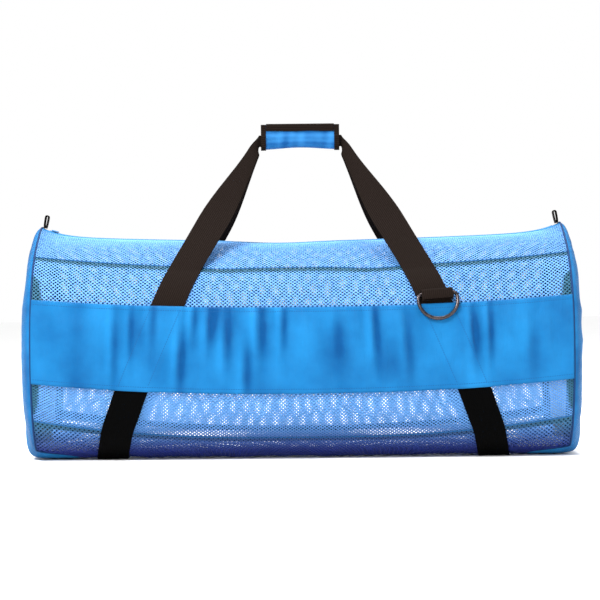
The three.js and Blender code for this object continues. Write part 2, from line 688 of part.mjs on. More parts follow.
// A hairpin of tape that stands square on the end of the zip tape, so it leans inwards.
function endTab(end) {
  const { seat, slope } = zipPlace(end * (1 - TAB_INSET / HALF_LENGTH), TAB_SEAT);
  const radius = (TAB_THICK - TAB_WALL) / 2;
  const turn = TAB_HEIGHT - TAB_THICK / 2;
  const path = [[-radius * TAB_FOOT, 0], [-radius, turn * TAB_WAIST], [-radius, turn]];
  for (const degrees of [135, 90, 45]) {
    const angle = THREE.MathUtils.degToRad(degrees);
    path.push([radius * Math.cos(angle), turn + radius * Math.sin(angle)]);
  }
  path.push([radius, turn], [radius, turn * TAB_WAIST], [radius * TAB_FOOT, 0]);
  const ribbon = ribbonRings(path, TAB_WIDTH / 2, TAB_WALL, (a, b, across) => [a, across, b]);
  const geometry = bodyFromRings(ribbon);
  geometry.rotateY(-slope * TAB_LEAN);
  return geometry.translate(seat.x, seat.y, seat.z);
}

// Rings of a ribbon that follows a flat path of [a, b] points: half its width to each side,
// half its wall to each face. place turns a, b and the distance across into coordinates.
function ribbonRings(path, half, thickness, place) {
  return path.map(([a, b], i) => {
    const [before, after] = [path[Math.max(i - 1, 0)], path[Math.min(i + 1, path.length - 1)]];
    const heading = Math.atan2(after[1] - before[1], after[0] - before[0]);
    const [stepA, stepB] = [(-Math.sin(heading) * thickness) / 2, (Math.cos(heading) * thickness) / 2];
    const corner = (face, across) => new THREE.Vector3(...place(a + stepA * face, b + stepB * face, across));
    return [corner(-1, -half), corner(-1, half), corner(1, half), corner(1, -half)];
  });
}

// Ring and its loop

// The ring's own frame on the front right: the bar's middle, the bar's direction, the
// direction in which the surface falls away below it and the direction out of the bag.
function ringFrame() {
  const along = STRAP_ROUTE.bandTop + RING_SHIFT / HALF_LENGTH;
  const run = lineRun("bandTop", along) - BAR_ABOVE_BAND;
  const lift = BAND_LIFT + WEB_WALL + LAYER_GAP + RING_WIRE / 2;
  const bar = surfacePoint(FRONT, along, run, lift);
  const out = outwardNormal(FRONT, along, run);
  const tilt = THREE.MathUtils.degToRad(RING_TILT);
  const level = new THREE.Vector3(1, 0, 0).addScaledVector(out, -out.x).normalize();
  const direction = level.applyAxisAngle(out, tilt).normalize();
  const hang = direction.clone().cross(out).normalize();
  if (hang.z > 0) hang.negate();
  return { bar, direction, hang, out };
}

// How far the hanging ring leans out of its frame so that its wire just clears the band.
function ringLean({ bar, direction, hang, out }) {
  let lean = -Math.PI / 2;
  for (const share of RING_REST_SHARES) {
    const reach = (RING_HEIGHT - RING_WIRE / 2) * share;
    for (const across of RING_REST_SIDES) {
      const offset = across * RING_INNER_WIDTH * Math.sqrt(RING_REST_TAPER - share);
      const x = bar.x + direction.x * offset;
      const run = lineRun("bandTop", x / HALF_LENGTH) - BAR_ABOVE_BAND + reach;
      const band = surfacePoint(FRONT, x / HALF_LENGTH, run, BAND_LIFT + NYLON_WALL);
      const away = band.sub(bar);
      const needed = away.dot(out) + RING_WIRE / 2 + RING_REST_GAP;
      lean = Math.max(lean, Math.atan2(needed, away.dot(hang)));
    }
  }
  return lean;
}

// A round wire bent to a D: a straight bar, two corners and a bow.
function dRing() {
  const frame = ringFrame();
  const { bar, direction, hang, out } = frame;
  const lean = ringLean(frame);
  const down = hang.clone().multiplyScalar(Math.cos(lean)).addScaledVector(out, Math.sin(lean));
  const face = out.clone().multiplyScalar(Math.cos(lean)).addScaledVector(hang, -Math.sin(lean));
  const half = (RING_INNER_WIDTH + RING_WIRE) / 2;
  const bowMiddle = RING_HEIGHT - RING_WIRE / 2 - half;
  const path = new THREE.Path();
  path.moveTo(0, 0);
  path.lineTo(half - RING_CORNER, 0);
  path.absarc(half - RING_CORNER, RING_CORNER, RING_CORNER, -Math.PI / 2, 0, false);
  path.lineTo(half, bowMiddle);
  path.absarc(0, bowMiddle, half, 0, Math.PI, false);
  path.lineTo(-half, RING_CORNER);
  path.absarc(-half + RING_CORNER, RING_CORNER, RING_CORNER, Math.PI, 1.5 * Math.PI, false);
  path.closePath();
  const outline = path.getPoints(4).filter((p, i, all) => i === 0 || p.distanceTo(all[i - 1]) > 1);
  if (outline[0].distanceTo(outline[outline.length - 1]) < 1) outline.pop();
  const place = (p) => bar.clone().addScaledVector(direction, p.x).addScaledVector(down, p.y);
  const rings = outline.map((p, i) => {
    const before = outline[(i + outline.length - 1) % outline.length];
    const after = outline[(i + 1) % outline.length];
    const heading = place(after).sub(place(before)).normalize();
    const across = heading.clone().cross(face).normalize();
    return Array.from({ length: RING_SIDES }, (_, k) => {
      const angle = (2 * Math.PI * (k + 0.5)) / RING_SIDES;
      const spoke = across.clone().multiplyScalar(Math.cos(angle)).addScaledVector(face, Math.sin(angle));
      return place(p).addScaledVector(spoke, RING_WIRE / 2);
    });
  });
  return bodyFromRings(rings, { loop: true });
}

// A short webbing folded over the ring's bar, both ends at the band's top edge.
function ringLoop() {
  const { bar, direction, hang, out } = ringFrame();
  const radius = RING_WIRE / 2 + LAYER_GAP + WEB_WALL / 2;
  const tail = BAR_ABOVE_BAND - LOOP_END_GAP;
  const path = [[tail, -radius], [tail * LOOP_FLAT, -radius]];
  for (const degrees of [-90, -45, 0, 45, 90]) {
    const angle = THREE.MathUtils.degToRad(degrees);
    path.push([-LOOP_SLACK - radius * Math.cos(angle), radius * Math.sin(angle)]);
  }
  path.push([tail * LOOP_FLAT, radius], [tail, radius]);
  const place = (down, away, across) =>
    bar
      .clone()
      .addScaledVector(direction, across)
      .addScaledVector(hang, down)
      .addScaledVector(out, away)
      .toArray();
  return bodyFromRings(ribbonRings(path, LOOP_WIDTH / 2, WEB_WALL, place));
}

// Materials
const MATERIALS = {
  mesh: { color: 0x6fa8e6, roughness: 0.6, metalness: 0 },
  nylon: { color: 0x2f9eec, roughness: 0.55, metalness: 0 },
  webbing: { color: 0x1d1815, roughness: 0.75, metalness: 0 },
  binding: { color: 0x14323f, roughness: 0.8, metalness: 0 },
  zip: { color: 0x2a2a2e, roughness: 0.6, metalness: 0 },
  steel: { color: 0x3a3634, roughness: 0.28, metalness: 0.9 },
};

const bag = new THREE.Group();

function add(name, geometry, finish) {
  const mesh = new THREE.Mesh(geometry, new THREE.MeshStandardMaterial(MATERIALS[finish]));
  mesh.name = name;
  bag.add(mesh);
}

for (const [word, side] of [["front", FRONT], ["back", BACK]]) {
  add(`top_mesh_${word}`, wall(onSide(side, topRows), COLUMNS, 0, MESH_WALL), "mesh");
  add(`${word}_mesh`, wall(onSide(side, sideRows), COLUMNS, 0, MESH_WALL), "mesh");
  const bandLift = BAND_LIFT + NYLON_WALL;
  const bandCloth = wall(onSide(side, bandRows), halved(COLUMNS), bandLift, NYLON_WALL, foldRise(side));
  add(`${word}_band`, bandCloth, "nylon");
  add(`zip_tape_${word}`, zipTape(side), "zip");
  add(`binding_top_${word}`, longBinding(side, sideRows.slice(0, 2)), "binding");
  add(`binding_bottom_${word}`, longBinding(side, underRows.slice(0, 2)), "binding");
  add(`strap_${word}`, handleStrap(side), "webbing");
}
add("bottom_mesh", wall(acrossBase(), COLUMNS, 0, MESH_WALL), "mesh");
for (const [word, end] of [["left", -1], ["right", 1]]) {
  add(`end_panel_${word}`, endPanel(end), "nylon");
  add(`binding_end_${word}`, endBinding(end), "binding");
  add(`strap_under_${word}`, underStrap(end), "webbing");
  add(`end_tab_${word}`, endTab(end), "webbing");
}
add("zip_chain", zipChain(), "zip");
add("zip_slider", zipSlider(), "zip");

const wrapEnd = WRAP_LENGTH / 2;
add("handle_wrap", wrapSleeve(-wrapEnd, wrapEnd, 0, WRAP_WALL), "nylon");
for (const [word, end] of [["left", -1], ["right", 1]]) {
  const sleeve = wrapSleeve(wrapEnd - EDGING_WIDTH, wrapEnd, LAYER_GAP + EDGING_WALL, EDGING_WALL);
  if (end < 0) sleeve.rotateZ(Math.PI);
  add(`wrap_edging_${word}`, sleeve, "webbing");
}
add("wrap_edging_top", finEdging(), "webbing");
add("ring_loop", ringLoop(), "webbing");
add("d_ring", dRing(), "steel");

export default bag;
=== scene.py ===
"""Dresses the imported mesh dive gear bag: open mesh panels, nylon band and ends, webbing, zip and ring.

Shapes are worked out in millimetres on one body surface, and written to their meshes in metres.
"""

import json
import logging
import math
from dataclasses import dataclass
from enum import Enum
from functools import cached_property

import bpy
import numpy as np
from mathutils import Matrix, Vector

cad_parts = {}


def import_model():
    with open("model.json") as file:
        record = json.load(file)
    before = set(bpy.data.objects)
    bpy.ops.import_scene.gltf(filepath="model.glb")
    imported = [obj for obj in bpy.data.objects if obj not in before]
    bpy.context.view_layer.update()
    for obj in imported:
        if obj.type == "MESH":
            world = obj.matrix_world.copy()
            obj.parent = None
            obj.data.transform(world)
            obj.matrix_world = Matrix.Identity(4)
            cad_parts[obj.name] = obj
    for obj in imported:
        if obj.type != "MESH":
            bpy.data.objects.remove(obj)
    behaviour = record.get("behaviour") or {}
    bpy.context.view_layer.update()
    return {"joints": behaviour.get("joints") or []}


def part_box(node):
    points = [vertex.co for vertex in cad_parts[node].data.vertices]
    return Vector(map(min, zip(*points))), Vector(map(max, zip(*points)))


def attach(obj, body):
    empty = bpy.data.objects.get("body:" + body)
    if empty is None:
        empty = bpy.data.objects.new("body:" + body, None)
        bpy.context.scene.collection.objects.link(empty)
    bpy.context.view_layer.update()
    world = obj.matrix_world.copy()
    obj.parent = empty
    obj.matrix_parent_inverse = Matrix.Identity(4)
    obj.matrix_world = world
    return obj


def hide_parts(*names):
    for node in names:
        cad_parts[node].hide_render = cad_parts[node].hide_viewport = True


Array = np.ndarray
METRES = 0.001
log = logging.getLogger("dive_bag")


class Side(Enum):
    """The bag's two long sides, by the sign of Y."""

    FRONT = -1
    BACK = 1

    @property
    def word(self) -> str:
        """The side's word in the names of pieces."""
        return self.name.lower()


class End(Enum):
    """The bag's two ends, by the sign of X."""

    LEFT = -1
    RIGHT = 1

    @property
    def word(self) -> str:
        """The end's word in the names of pieces."""
        return self.name.lower()


class Line(Enum):
    """The lines that run along the body, from the zip down to the middle of the base."""

    ZIP = "zip line"
    TOP_SEAM = "top seam"
    BAND_TOP = "band top"
    BAND_BOTTOM = "band bottom"
    BOTTOM_SEAM = "bottom seam"
    FLOOR = "floor line"
    BASE_MIDDLE = "base middle"


# Small tools


def smooth(t: Array) -> Array:
    """Rises from 0 to 1 with level ends, as 3t squared less 2t cubed."""
    t = np.clip(t, 0.0, 1.0)
    return t * t * (3 - 2 * t)


def mix(a: Array, b: Array, t: Array) -> Array:
    """The value a share t of the way from a to b."""
    return a + (b - a) * t


def bell(distance: Array, reach: Array) -> Array:
    """A Gaussian bell that is 1 at no distance and 1/e at the reach."""
    return np.exp(-((distance / reach) ** 2))


def unit(v: Array) -> Array:
    """Vectors along the last axis at length one."""
    return v / np.maximum(np.linalg.norm(v, axis=-1, keepdims=True), 1e-12)


def on_cloth(u: Array, v: Array) -> Array:
    """Places on the cloth, in metres, from two lengths in millimetres."""
    return np.stack(np.broadcast_arrays(u, v), axis=-1) * METRES


def waves(u: Array, v: Array, seed: int, count: int, low: float, high: float) -> Array:
    """Soft seeded relief: a sum of count plane waves, each with its own direction and phase.

    Args:
        u: places along, in millimetres.
        v: places across, in millimetres.
        seed: picks the waves.
        count: how many waves are added.
        low: shortest wave length in millimetres.
        high: longest wave length in millimetres.

    Returns:
        Heights of about -1 to 1 at each place.
    """
    draw = np.random.default_rng(seed)
    total = np.zeros(np.broadcast(u, v).shape)
    for _ in range(count):
        length, turn, phase = draw.uniform(low, high), draw.uniform(0, np.pi), draw.uniform(0, 2 * np.pi)
        total += np.sin(2 * np.pi / length * (u * np.cos(turn) + v * np.sin(turn)) + phase)
    return total / math.sqrt(count)


@dataclass
class Surface:
    """Points in millimetres, faces as index arrays, and each point's place on the cloth and two tones.

    A place is in metres. Tones carry painted light and shade: what a tone means is up to the finish, and 0 is
    its plain state.
    """

    points: Array
    faces: list[Array]
    places: Array
    tones: Array | None = None

    def __post_init__(self) -> None:
        """Fills in plain tones."""
        if self.tones is None:
            self.tones = np.zeros((len(self.points), 2))

    def joined(self, *others: "Surface") -> "Surface":
        """One surface of this one and others, with their indices moved up.

        Args:
            others: the surfaces to add.

        Returns:
            The joined surface.
        """
        parts = [self, *others]
        starts = np.cumsum([0] + [len(part.points) for part in parts])
        faces = [face + start for part, start in zip(parts, starts) for face in part.faces]
        points, places, tones = (
            np.concatenate([getattr(part, kind) for part in parts]) for kind in ("points", "places", "tones")
        )
        return Surface(points, faces, places, tones)

    def outward(self) -> "Surface":
        """The surface with its faces turned so that its volume is positive.

        Returns:
            This surface, or one with every face reversed.
        """
        volume = 0.0
        for face in self.faces:
            for k in range(1, face.shape[1] - 1):
                a, b, c = (self.points[face[:, i]] for i in (0, k, k + 1))
                volume += np.einsum("ij,ij->", a, np.cross(b, c))
        if volume >= 0:
            return self
        return Surface(self.points, [face[:, ::-1] for face in self.faces], self.places, self.tones)


def grid_faces(rows: int, columns: int, around: bool = False) -> Array:
    """The quads of a grid of points given row by row.

    Args:
        rows: number of rows.
        columns: points in each row.
        around: joins each row's last point to its first.

    Returns:
        Corner indices, one row for each quad.
    """
    index = np.arange(rows * columns).reshape(rows, columns)
    if around:
        index = np.concatenate([index, index[:, :1]], axis=1)
    return np.stack([index[:-1, :-1], index[:-1, 1:], index[1:, 1:], index[1:, :-1]], axis=-1).reshape(-1, 4)


def shell(outer: Array, inner: Array, places: Array, tone: Array | None = None) -> Surface:
    """A closed wall between two grids of points, with its four edges filled.

    Args:
        outer: points of the outer face, rows by columns.
        inner: points of the inner face, on the same grid.
        places: each grid point's place on the cloth.
        tone: each grid point's first tone, or nothing for plain ones.

    Returns:
        The closed wall.
    """
    rows, columns = outer.shape[:2]
    out = np.arange(rows * columns).reshape(rows, columns)
    back = out + rows * columns
    faces = grid_faces(rows, columns)

    def strip(a: Array, b: Array) -> Array:
        """The quads between an edge of the outer face and the same edge of the inner one."""
        return np.stack([a[1:], a[:-1], b[:-1], b[1:]], axis=-1)

    edges = [
        strip(out[0], back[0]),
        strip(out[-1][::-1], back[-1][::-1]),
        strip(out[:, 0][::-1], back[:, 0][::-1]),
        strip(out[:, -1], back[:, -1]),
    ]
    flat = places.reshape(-1, 2)
    points = np.concatenate([outer.reshape(-1, 3), inner.reshape(-1, 3)])
    wall = [faces, faces[:, ::-1] + rows * columns, *edges]
    tones = np.zeros((len(points), 2))
    if tone is not None:
        tones[:, 0] = np.tile(tone.ravel(), 2)
    return Surface(points, wall, np.concatenate([flat, flat]), tones).outward()


def sweep(rings: Array, places: Array, closed: bool = False) -> Surface:
    """A closed body from rings of points, each joined round, with a fan over each open end.

    Args:
        rings: points, ring by ring.
        places: each point's place on the cloth.
        closed: joins the last ring to the first.

    Returns:
        The closed body.
    """
    count, around = rings.shape[:2]
    faces = grid_faces(count, around, around=True)
    points, flat = rings.reshape(-1, 3), places.reshape(-1, 2)
    if closed:
        last, first = np.arange(around) + (count - 1) * around, np.arange(around)
        seam = np.stack([last, np.roll(last, -1), np.roll(first, -1), first], axis=-1)
        return Surface(points, [faces, seam], flat).outward()
    fans = []
    for start, order in ((0, -1), ((count - 1) * around, 1)):
        rim = np.arange(around) + start
        middle = np.full(around, len(points))
        fans.append(np.stack([rim, np.roll(rim, -1), middle], axis=-1)[:, ::order])
        points = np.concatenate([points, points[rim].mean(0, keepdims=True)])
        flat = np.concatenate([flat, flat[rim].mean(0, keepdims=True)])
    return Surface(points, [faces, *fans], flat).outward()


def flat_section(count: int, squareness: float) -> tuple[Array, Array]:
    """A flat strip's cross-section with rounded edges, as a superellipse from -1 to 1 both ways.

    Args:
        count: points round the section.
        squareness: power of the superellipse; a high one gives small edge rounds.

    Returns:
        Shares of half the width, and shares of half the thickness.
    """
    angle = 2 * np.pi * (np.arange(count) + 0.5) / count
    across, up = np.cos(angle), np.sin(angle)
    power = 2 / squareness
    return np.sign(across) * np.abs(across) ** power, np.sign(up) * np.abs(up) ** power


def resampled(path: Array, count: int) -> Array:
    """Points spread evenly along a path.

    Args:
        path: points of the path.
        count: how many points to return.

    Returns:
        The new points.
    """
    run = np.concatenate([[0.0], np.cumsum(np.linalg.norm(np.diff(path, axis=0), axis=1))])
    at = np.linspace(0, run[-1], count)
    return np.stack([np.interp(at, run, path[:, k]) for k in range(path.shape[1])], axis=-1)


def stitch_row(
    path: Array, normals: Array, pitch: float = 3.6, length: float = 2.7, width: float = 0.7
) -> Surface:
    """A row of thread stitches: small low boxes with narrowed ends, one each pitch along a path.

    Args:
        path: points that the row follows, in the cloth's face.
        normals: the way out of the cloth at those points.
        pitch: from one stitch to the next.
        length: length of a stitch.
        width: width and height of the thread.

    Returns:
        The stitches as one surface.
    """
    total = np.linalg.norm(np.diff(path, axis=0), axis=1).sum()
    count = max(int(total / pitch), 2)
    both = resampled(np.concatenate([path, normals], axis=1), count + 1)
    middle = (both[:-1, :3] + both[1:, :3]) / 2
    along, out = unit(both[1:, :3] - both[:-1, :3]), unit(both[:-1, 3:])
    side = np.cross(along, out)
    points = []
    for end, wide, high in ((-0.5, 0.25, 0.1), (-0.25, 0.5, 0.8), (0.25, 0.5, 0.8), (0.5, 0.25, 0.1)):
        for across, level in ((-1, -0.4), (1, -0.4), (1, high), (-1, high)):
            points.append(middle + along * end * length + side * across * wide * width + out * level * width)
    grid = np.stack(points, axis=1)
    ring = grid_faces(4, 4, around=True)
    caps = np.array([[3, 2, 1, 0], [12, 13, 14, 15]])
    each = np.concatenate([ring, caps])
    faces = (each[None] + 16 * np.arange(count)[:, None, None]).reshape(-1, 4)
    places = np.repeat(on_cloth(np.arange(count) * pitch, np.zeros(count)), 16, axis=0)
    return Surface(grid.reshape(-1, 3), [faces], places).outward()


def make_piece(
    name: str,
    surface: Surface,
    material: bpy.types.Material,
    replaces: tuple[str, ...] = (),
    body: str = "bag",
) -> bpy.types.Object:
    """Writes a surface into a new object that rides on a body.

    Args:
        name: name of the piece.
        surface: its points, faces and cloth places.
        material: its finish.
        replaces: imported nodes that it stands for.
        body: body that it rides on.

    Returns:
        The new object.
    """
    mesh = bpy.data.meshes.new(name)
    corners = np.concatenate([face.ravel() for face in surface.faces]).astype(np.int32)
    sizes = np.concatenate([np.full(len(face), face.shape[1]) for face in surface.faces])
    starts = np.concatenate([[0], np.cumsum(sizes)[:-1]]).astype(np.int32)
    mesh.vertices.add(len(surface.points))
    mesh.vertices.foreach_set("co", (surface.points * METRES).astype(np.float32).ravel())
    mesh.loops.add(len(corners))
    mesh.loops.foreach_set("vertex_index", corners)
    mesh.polygons.add(len(sizes))
    mesh.polygons.foreach_set("loop_start", starts)
    mesh.update(calc_edges=True)
    mesh.polygons.foreach_set("use_smooth", np.ones(len(sizes), bool))
    for layer, values in (("cloth", surface.places), ("tone", surface.tones)):
        mesh.uv_layers.new(name=layer).data.foreach_set("uv", values[corners].astype(np.float32).ravel())
    mesh.materials.append(material)
    mesh.validate()
    piece = bpy.data.objects.new(name, mesh)
    bpy.context.scene.collection.objects.link(piece)
    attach(piece, body)
    if replaces:
        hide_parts(*replaces)
    log.info("%s: %d points, %d faces", name, len(surface.points), len(sizes))
    return piece


def line_faces(
    piece: bpy.types.Object, material: bpy.types.Material, sizes: list[int], outer: list[bool]
) -> None:
    """Gives groups of a piece's faces a second finish.

    Args:
        piece: the piece.
        material: the second finish.
        sizes: number of faces in each group, in order.
        outer: whether each group keeps the first finish.
    """
    piece.data.materials.append(material)
    kinds = np.repeat([0 if keeps else 1 for keeps in outer], sizes).astype(np.int32)
    piece.data.polygons.foreach_set("material_index", kinds)


# Finishes


class Nodes:
    """A material's node tree with short calls to add nodes and links."""

    def __init__(self, name: str) -> None:
        """Starts an empty material that ends in one Principled shader.

        Args:
            name: the material's name.
        """
        self.material = bpy.data.materials.new(name)
        self.material.use_nodes = True
        self.tree = self.material.node_tree
        self.shader = self.tree.nodes["Principled BSDF"]

    def add(self, kind: str, **settings: object) -> bpy.types.Node:
        """Adds a node.

        Args:
            kind: node type after the word ShaderNode.
            settings: properties by name, or input values by socket name with spaces as underscores.

        Returns:
            The new node.
        """
        node = self.tree.nodes.new("ShaderNode" + kind)
        for key, value in settings.items():
            if hasattr(node, key):
                setattr(node, key, value)
            else:
                node.inputs[key.replace("_", " ")].default_value = value
        return node

    def link(self, start: bpy.types.NodeSocket, end: bpy.types.NodeSocket) -> None:
        """Joins an output to an input."""
        self.tree.links.new(start, end)

    def fill(self, socket: bpy.types.NodeSocket, value: object) -> None:
        """Gives an input a value, or links it where the value is an output.

        Args:
            socket: the input.
            value: a number, a colour or an output.
        """
        if isinstance(value, bpy.types.NodeSocket):
            self.link(value, socket)
        else:
            socket.default_value = value

    def set(self, **values: object) -> None:
        """Sets inputs of the shader by name, with spaces as underscores."""
        for key, value in values.items():
            self.shader.inputs[key.replace("_", " ")].default_value = value

    def cloth(self) -> bpy.types.NodeSocket:
        """The place on the cloth, in metres."""
        return self.add("UVMap", uv_map="cloth").outputs["UV"]

    def tone(self, axis: str) -> bpy.types.NodeSocket:
        """The first tone for X, the second for Y.

        Args:
            axis: X or Y.

        Returns:
            The tone's socket.
        """
        split = self.add("SeparateXYZ")
        self.link(self.add("UVMap", uv_map="tone").outputs["UV"], split.inputs[0])
        return split.outputs[axis]

    def noise(self, where: bpy.types.NodeSocket, scale: float, detail: float = 3.0) -> bpy.types.NodeSocket:
        """Noise of a scale per metre, read at a place.

        Args:
            where: the place's socket.
            scale: how many to a metre.
            detail: how fine it gets.

        Returns:
            The noise's socket.
        """
        node = self.add("TexNoise", Scale=scale, Detail=detail)
        self.link(where, node.inputs["Vector"])
        return node.outputs["Fac"]

    def wave(self, where: bpy.types.NodeSocket, scale: float, axis: str) -> bpy.types.NodeSocket:
        """Sine ribs of a scale per metre across an axis.

        Args:
            where: the place's socket.
            scale: how many to a metre.
            axis: X or Y.

        Returns:
            The ribs' socket.
        """
        node = self.add("TexWave", bands_direction=axis, Scale=scale)
        self.link(where, node.inputs["Vector"])
        return node.outputs["Fac"]

    def maths(self, operation: str, *values: object) -> bpy.types.NodeSocket:
        """One arithmetic step on numbers or sockets.

        Args:
            operation: name of the step.
            values: its numbers or sockets, in order.

        Returns:
            The result's socket.
        """
        node = self.add("Math", operation=operation)
        for socket, value in zip(node.inputs, values):
            self.fill(socket, value)
        return node.outputs["Value"]

    def shades(self, factor: bpy.types.NodeSocket, low: object, high: object) -> bpy.types.NodeSocket:
        """A colour between two by a factor.

        Args:
            factor: 0 for the first colour, 1 for the second.
            low: first colour, as red, green and blue or as a socket.
            high: second colour.

        Returns:
            The colour's socket.
        """
        node = self.add("Mix", data_type="RGBA")
        for socket, colour in zip(node.inputs[6:8], (low, high)):
            self.fill(socket, (*colour, 1) if isinstance(colour, tuple) else colour)
        self.link(factor, node.inputs[0])
        return node.outputs[2]

    def climb(self, low: float, high: float) -> bpy.types.NodeSocket:
        """A share that rises from 0 to 1 between two heights, in metres.

        Args:
            low: height where it is 0.
            high: height where it is 1.

        Returns:
            The share's socket.
        """
        split = self.add("SeparateXYZ")
        self.link(self.add("TexCoord").outputs["Object"], split.inputs[0])
        share = self.add("MapRange", interpolation_type="SMOOTHSTEP", From_Min=low, From_Max=high)
        self.link(split.outputs["Z"], share.inputs["Value"])
        return share.outputs["Result"]

    def bump(self, height: bpy.types.NodeSocket, distance: float, strength: float = 1.0) -> None:
        """Gives the shader a relief of a depth in metres.

        Args:
            height: the relief's socket.
            distance: its depth.
            strength: how much of it shows.
        """
        node = self.add("Bump", Strength=strength, Distance=distance)
        self.link(height, node.inputs["Height"])
        self.link(node.outputs["Normal"], self.shader.inputs["Normal"])


@dataclass(frozen=True)
class NetThread:
    """Knitted polyester net with painted light: a pale blue highlight painted where a strand stands up,
    deeper blue painted shade at the rims of the holes.

    The second tone is 1 on a strand's ridge, where a highlight is painted. The first is 1 where shade is
    painted, over sewn layers, where no light comes through the strands, and at some corners.
    """

    name: str = "net_thread"
    # painted light: rim is the painted shade at the holes' rims, ridge the painted highlight on a strand's
    # ridge
    rim: tuple = (0.020, 0.112, 0.33)
    ridge: tuple = (0.120, 0.320, 0.67)
    shaded_thread: tuple = (0.022, 0.100, 0.170)
    # painted shade: base is the colour the net darkens to towards the floor, between the two heights in
    # metres
    base: tuple = (0.010, 0.020, 0.15)
    base_shade_range: tuple[float, float] = (0.010, 0.068)
    roughness: float = 0.5

    def material(self) -> bpy.types.Material:
        """Makes the finish.

        Returns:
            The material.
        """
        nodes = Nodes(self.name)
        where = nodes.cloth()
        # painted highlight on each strand's ridge by the second tone, painted shade towards the holes' rims,
        # over random noise
        cloudy = nodes.maths("MULTIPLY_ADD", nodes.noise(where, 22, 4), 0.35, nodes.tone("Y"))
        thread = nodes.shades(nodes.maths("SUBTRACT", cloudy, 0.17), self.rim, self.ridge)
        # painted shade: the thread darkens where the first tone marks sewn layers and corners
        painted_shade = nodes.shades(nodes.tone("X"), thread, self.shaded_thread)
        # painted shade towards the floor
        colour = nodes.shades(nodes.climb(*self.base_shade_range), self.base, painted_shade)
        nodes.link(colour, nodes.shader.inputs["Base Color"])
        nodes.set(Roughness=self.roughness, Specular_IOR_Level=0.2)
        nodes.bump(nodes.noise(where, 2600, 2), 0.0002, 0.6)
        return nodes.material


@dataclass(frozen=True)
class CoatedNylon:
    """Plain-woven coated nylon: fine crossing ribs, soft creases and an even gloss.

    The first tone paints light and shade: -1 is painted shade in the bottom of a fold and 1 a painted
    highlight on a ridge.
    """

    name: str = "coated_nylon"
    # painted shade and highlight: dark is the colour in a fold's bottom, light on a bright ridge
    dark: tuple = (0.0, 0.066, 0.225)
    light: tuple = (0.014, 0.245, 0.58)
    roughness: float = 0.5
    crease: float = 0.010
    weave: float = 900.0

    def material(self) -> bpy.types.Material:
        """Makes the finish.

        Returns:
            The material.
        """
        nodes = Nodes(self.name)
        where = nodes.cloth()
        cloudy = nodes.maths("MULTIPLY_ADD", nodes.noise(where, 38, 5), 0.4, 0.3)
        # painted fold shade and ridge highlights from the first tone, over tone that differs at random
        folded = nodes.maths("MULTIPLY_ADD", nodes.tone("X"), 0.5, cloudy)
        nodes.link(nodes.shades(folded, self.dark, self.light), nodes.shader.inputs["Base Color"])
        nodes.set(Roughness=self.roughness, Specular_IOR_Level=0.1)
        ribs = nodes.maths("ADD", nodes.wave(where, self.weave, "X"), nodes.wave(where, self.weave, "Y"))
        long_folds = nodes.add("Mapping", Scale=(1.0, 0.22, 1.0))
        nodes.link(where, long_folds.inputs["Vector"])
        creases = nodes.noise(long_folds.outputs["Vector"], 60, 6)
        nodes.bump(nodes.maths("MULTIPLY_ADD", ribs, 0.03, creases), self.crease, 0.9)
        return nodes.material


@dataclass(frozen=True)
class Webbing:
    """Ribbed polypropylene webbing: lengthwise ribs crossed by a finer weave, nearly black."""

    # painted shade: shade is the share of the colour left near the floor
    name: str = "webbing"
    dark: tuple = (0.0042, 0.0026, 0.0020)
    light: tuple = (0.0115, 0.0074, 0.0058)
    ribs: float = 105.0
    picks: float = 190.0
    shade: float = 0.0
    floor_shade_heights: tuple[float, float] = (0.13, 0.25)

    def material(self) -> bpy.types.Material:
        """Makes the finish.

        Returns:
            The material.
        """
        nodes = Nodes(self.name)
        where = nodes.cloth()
        along, across = nodes.wave(where, self.picks, "X"), nodes.wave(where, self.ribs, "Y")
        weave = nodes.maths("MULTIPLY", nodes.maths("ADD", along, 0.4), across)
        height = nodes.maths("MULTIPLY_ADD", weave, 0.8, nodes.noise(where, 240, 4))
        # painted shade: the colour darkens towards the floor, between the two heights in metres
        lit = nodes.add("MapRange", To_Min=self.shade)
        nodes.link(nodes.climb(*self.floor_shade_heights), lit.inputs["Value"])
        colour = nodes.add("VectorMath", operation="SCALE")
        nodes.link(nodes.shades(weave, self.dark, self.light), colour.inputs[0])
        nodes.link(lit.outputs["Result"], colour.inputs["Scale"])
        nodes.link(colour.outputs["Vector"], nodes.shader.inputs["Base Color"])
        nodes.set(Roughness=0.8, Specular_IOR_Level=0.03)
        nodes.bump(height, 0.00035, 0.8)
        return nodes.material


@dataclass(frozen=True)
class PlainThread:
    """Thread, piping or tape of one colour with a fine twist."""

    name: str
    colour: tuple
    roughness: float = 0.6

    def material(self) -> bpy.types.Material:
        """Makes the finish.

        Returns:
            The material.
        """
        nodes = Nodes(self.name)
        where = nodes.cloth()
        shade = nodes.noise(where, 400, 3)
        low = tuple(c * 0.7 for c in self.colour)
        nodes.link(nodes.shades(shade, low, self.colour), nodes.shader.inputs["Base Color"])
        nodes.set(Roughness=self.roughness, Specular_IOR_Level=0.15)
        nodes.bump(nodes.wave(where, 420, "X"), 0.0002, 0.6)
        return nodes.material


@dataclass(frozen=True)
class GunmetalSteel:
    """Plated steel wire: dark, smooth and slightly clouded."""

    dark: tuple = (0.020, 0.018, 0.020)
    light: tuple = (0.085, 0.070, 0.073)

    def material(self) -> bpy.types.Material:
        """Makes the finish.

        Returns:
            The material.
        """
        nodes = Nodes("gunmetal_steel")
        where = nodes.add("TexCoord").outputs["Object"]
        cloudy = nodes.noise(where, 180, 5)
        nodes.link(nodes.shades(cloudy, self.dark, self.light), nodes.shader.inputs["Base Color"])
        nodes.set(Metallic=1.0)
        worn = nodes.add("MapRange", From_Min=0.3, From_Max=0.7, To_Min=0.2, To_Max=0.34)
        nodes.link(cloudy, worn.inputs["Value"])
        nodes.link(worn.outputs["Result"], nodes.shader.inputs["Roughness"])
        nodes.bump(nodes.noise(where, 900, 3), 0.00008, 0.5)
        return nodes.material


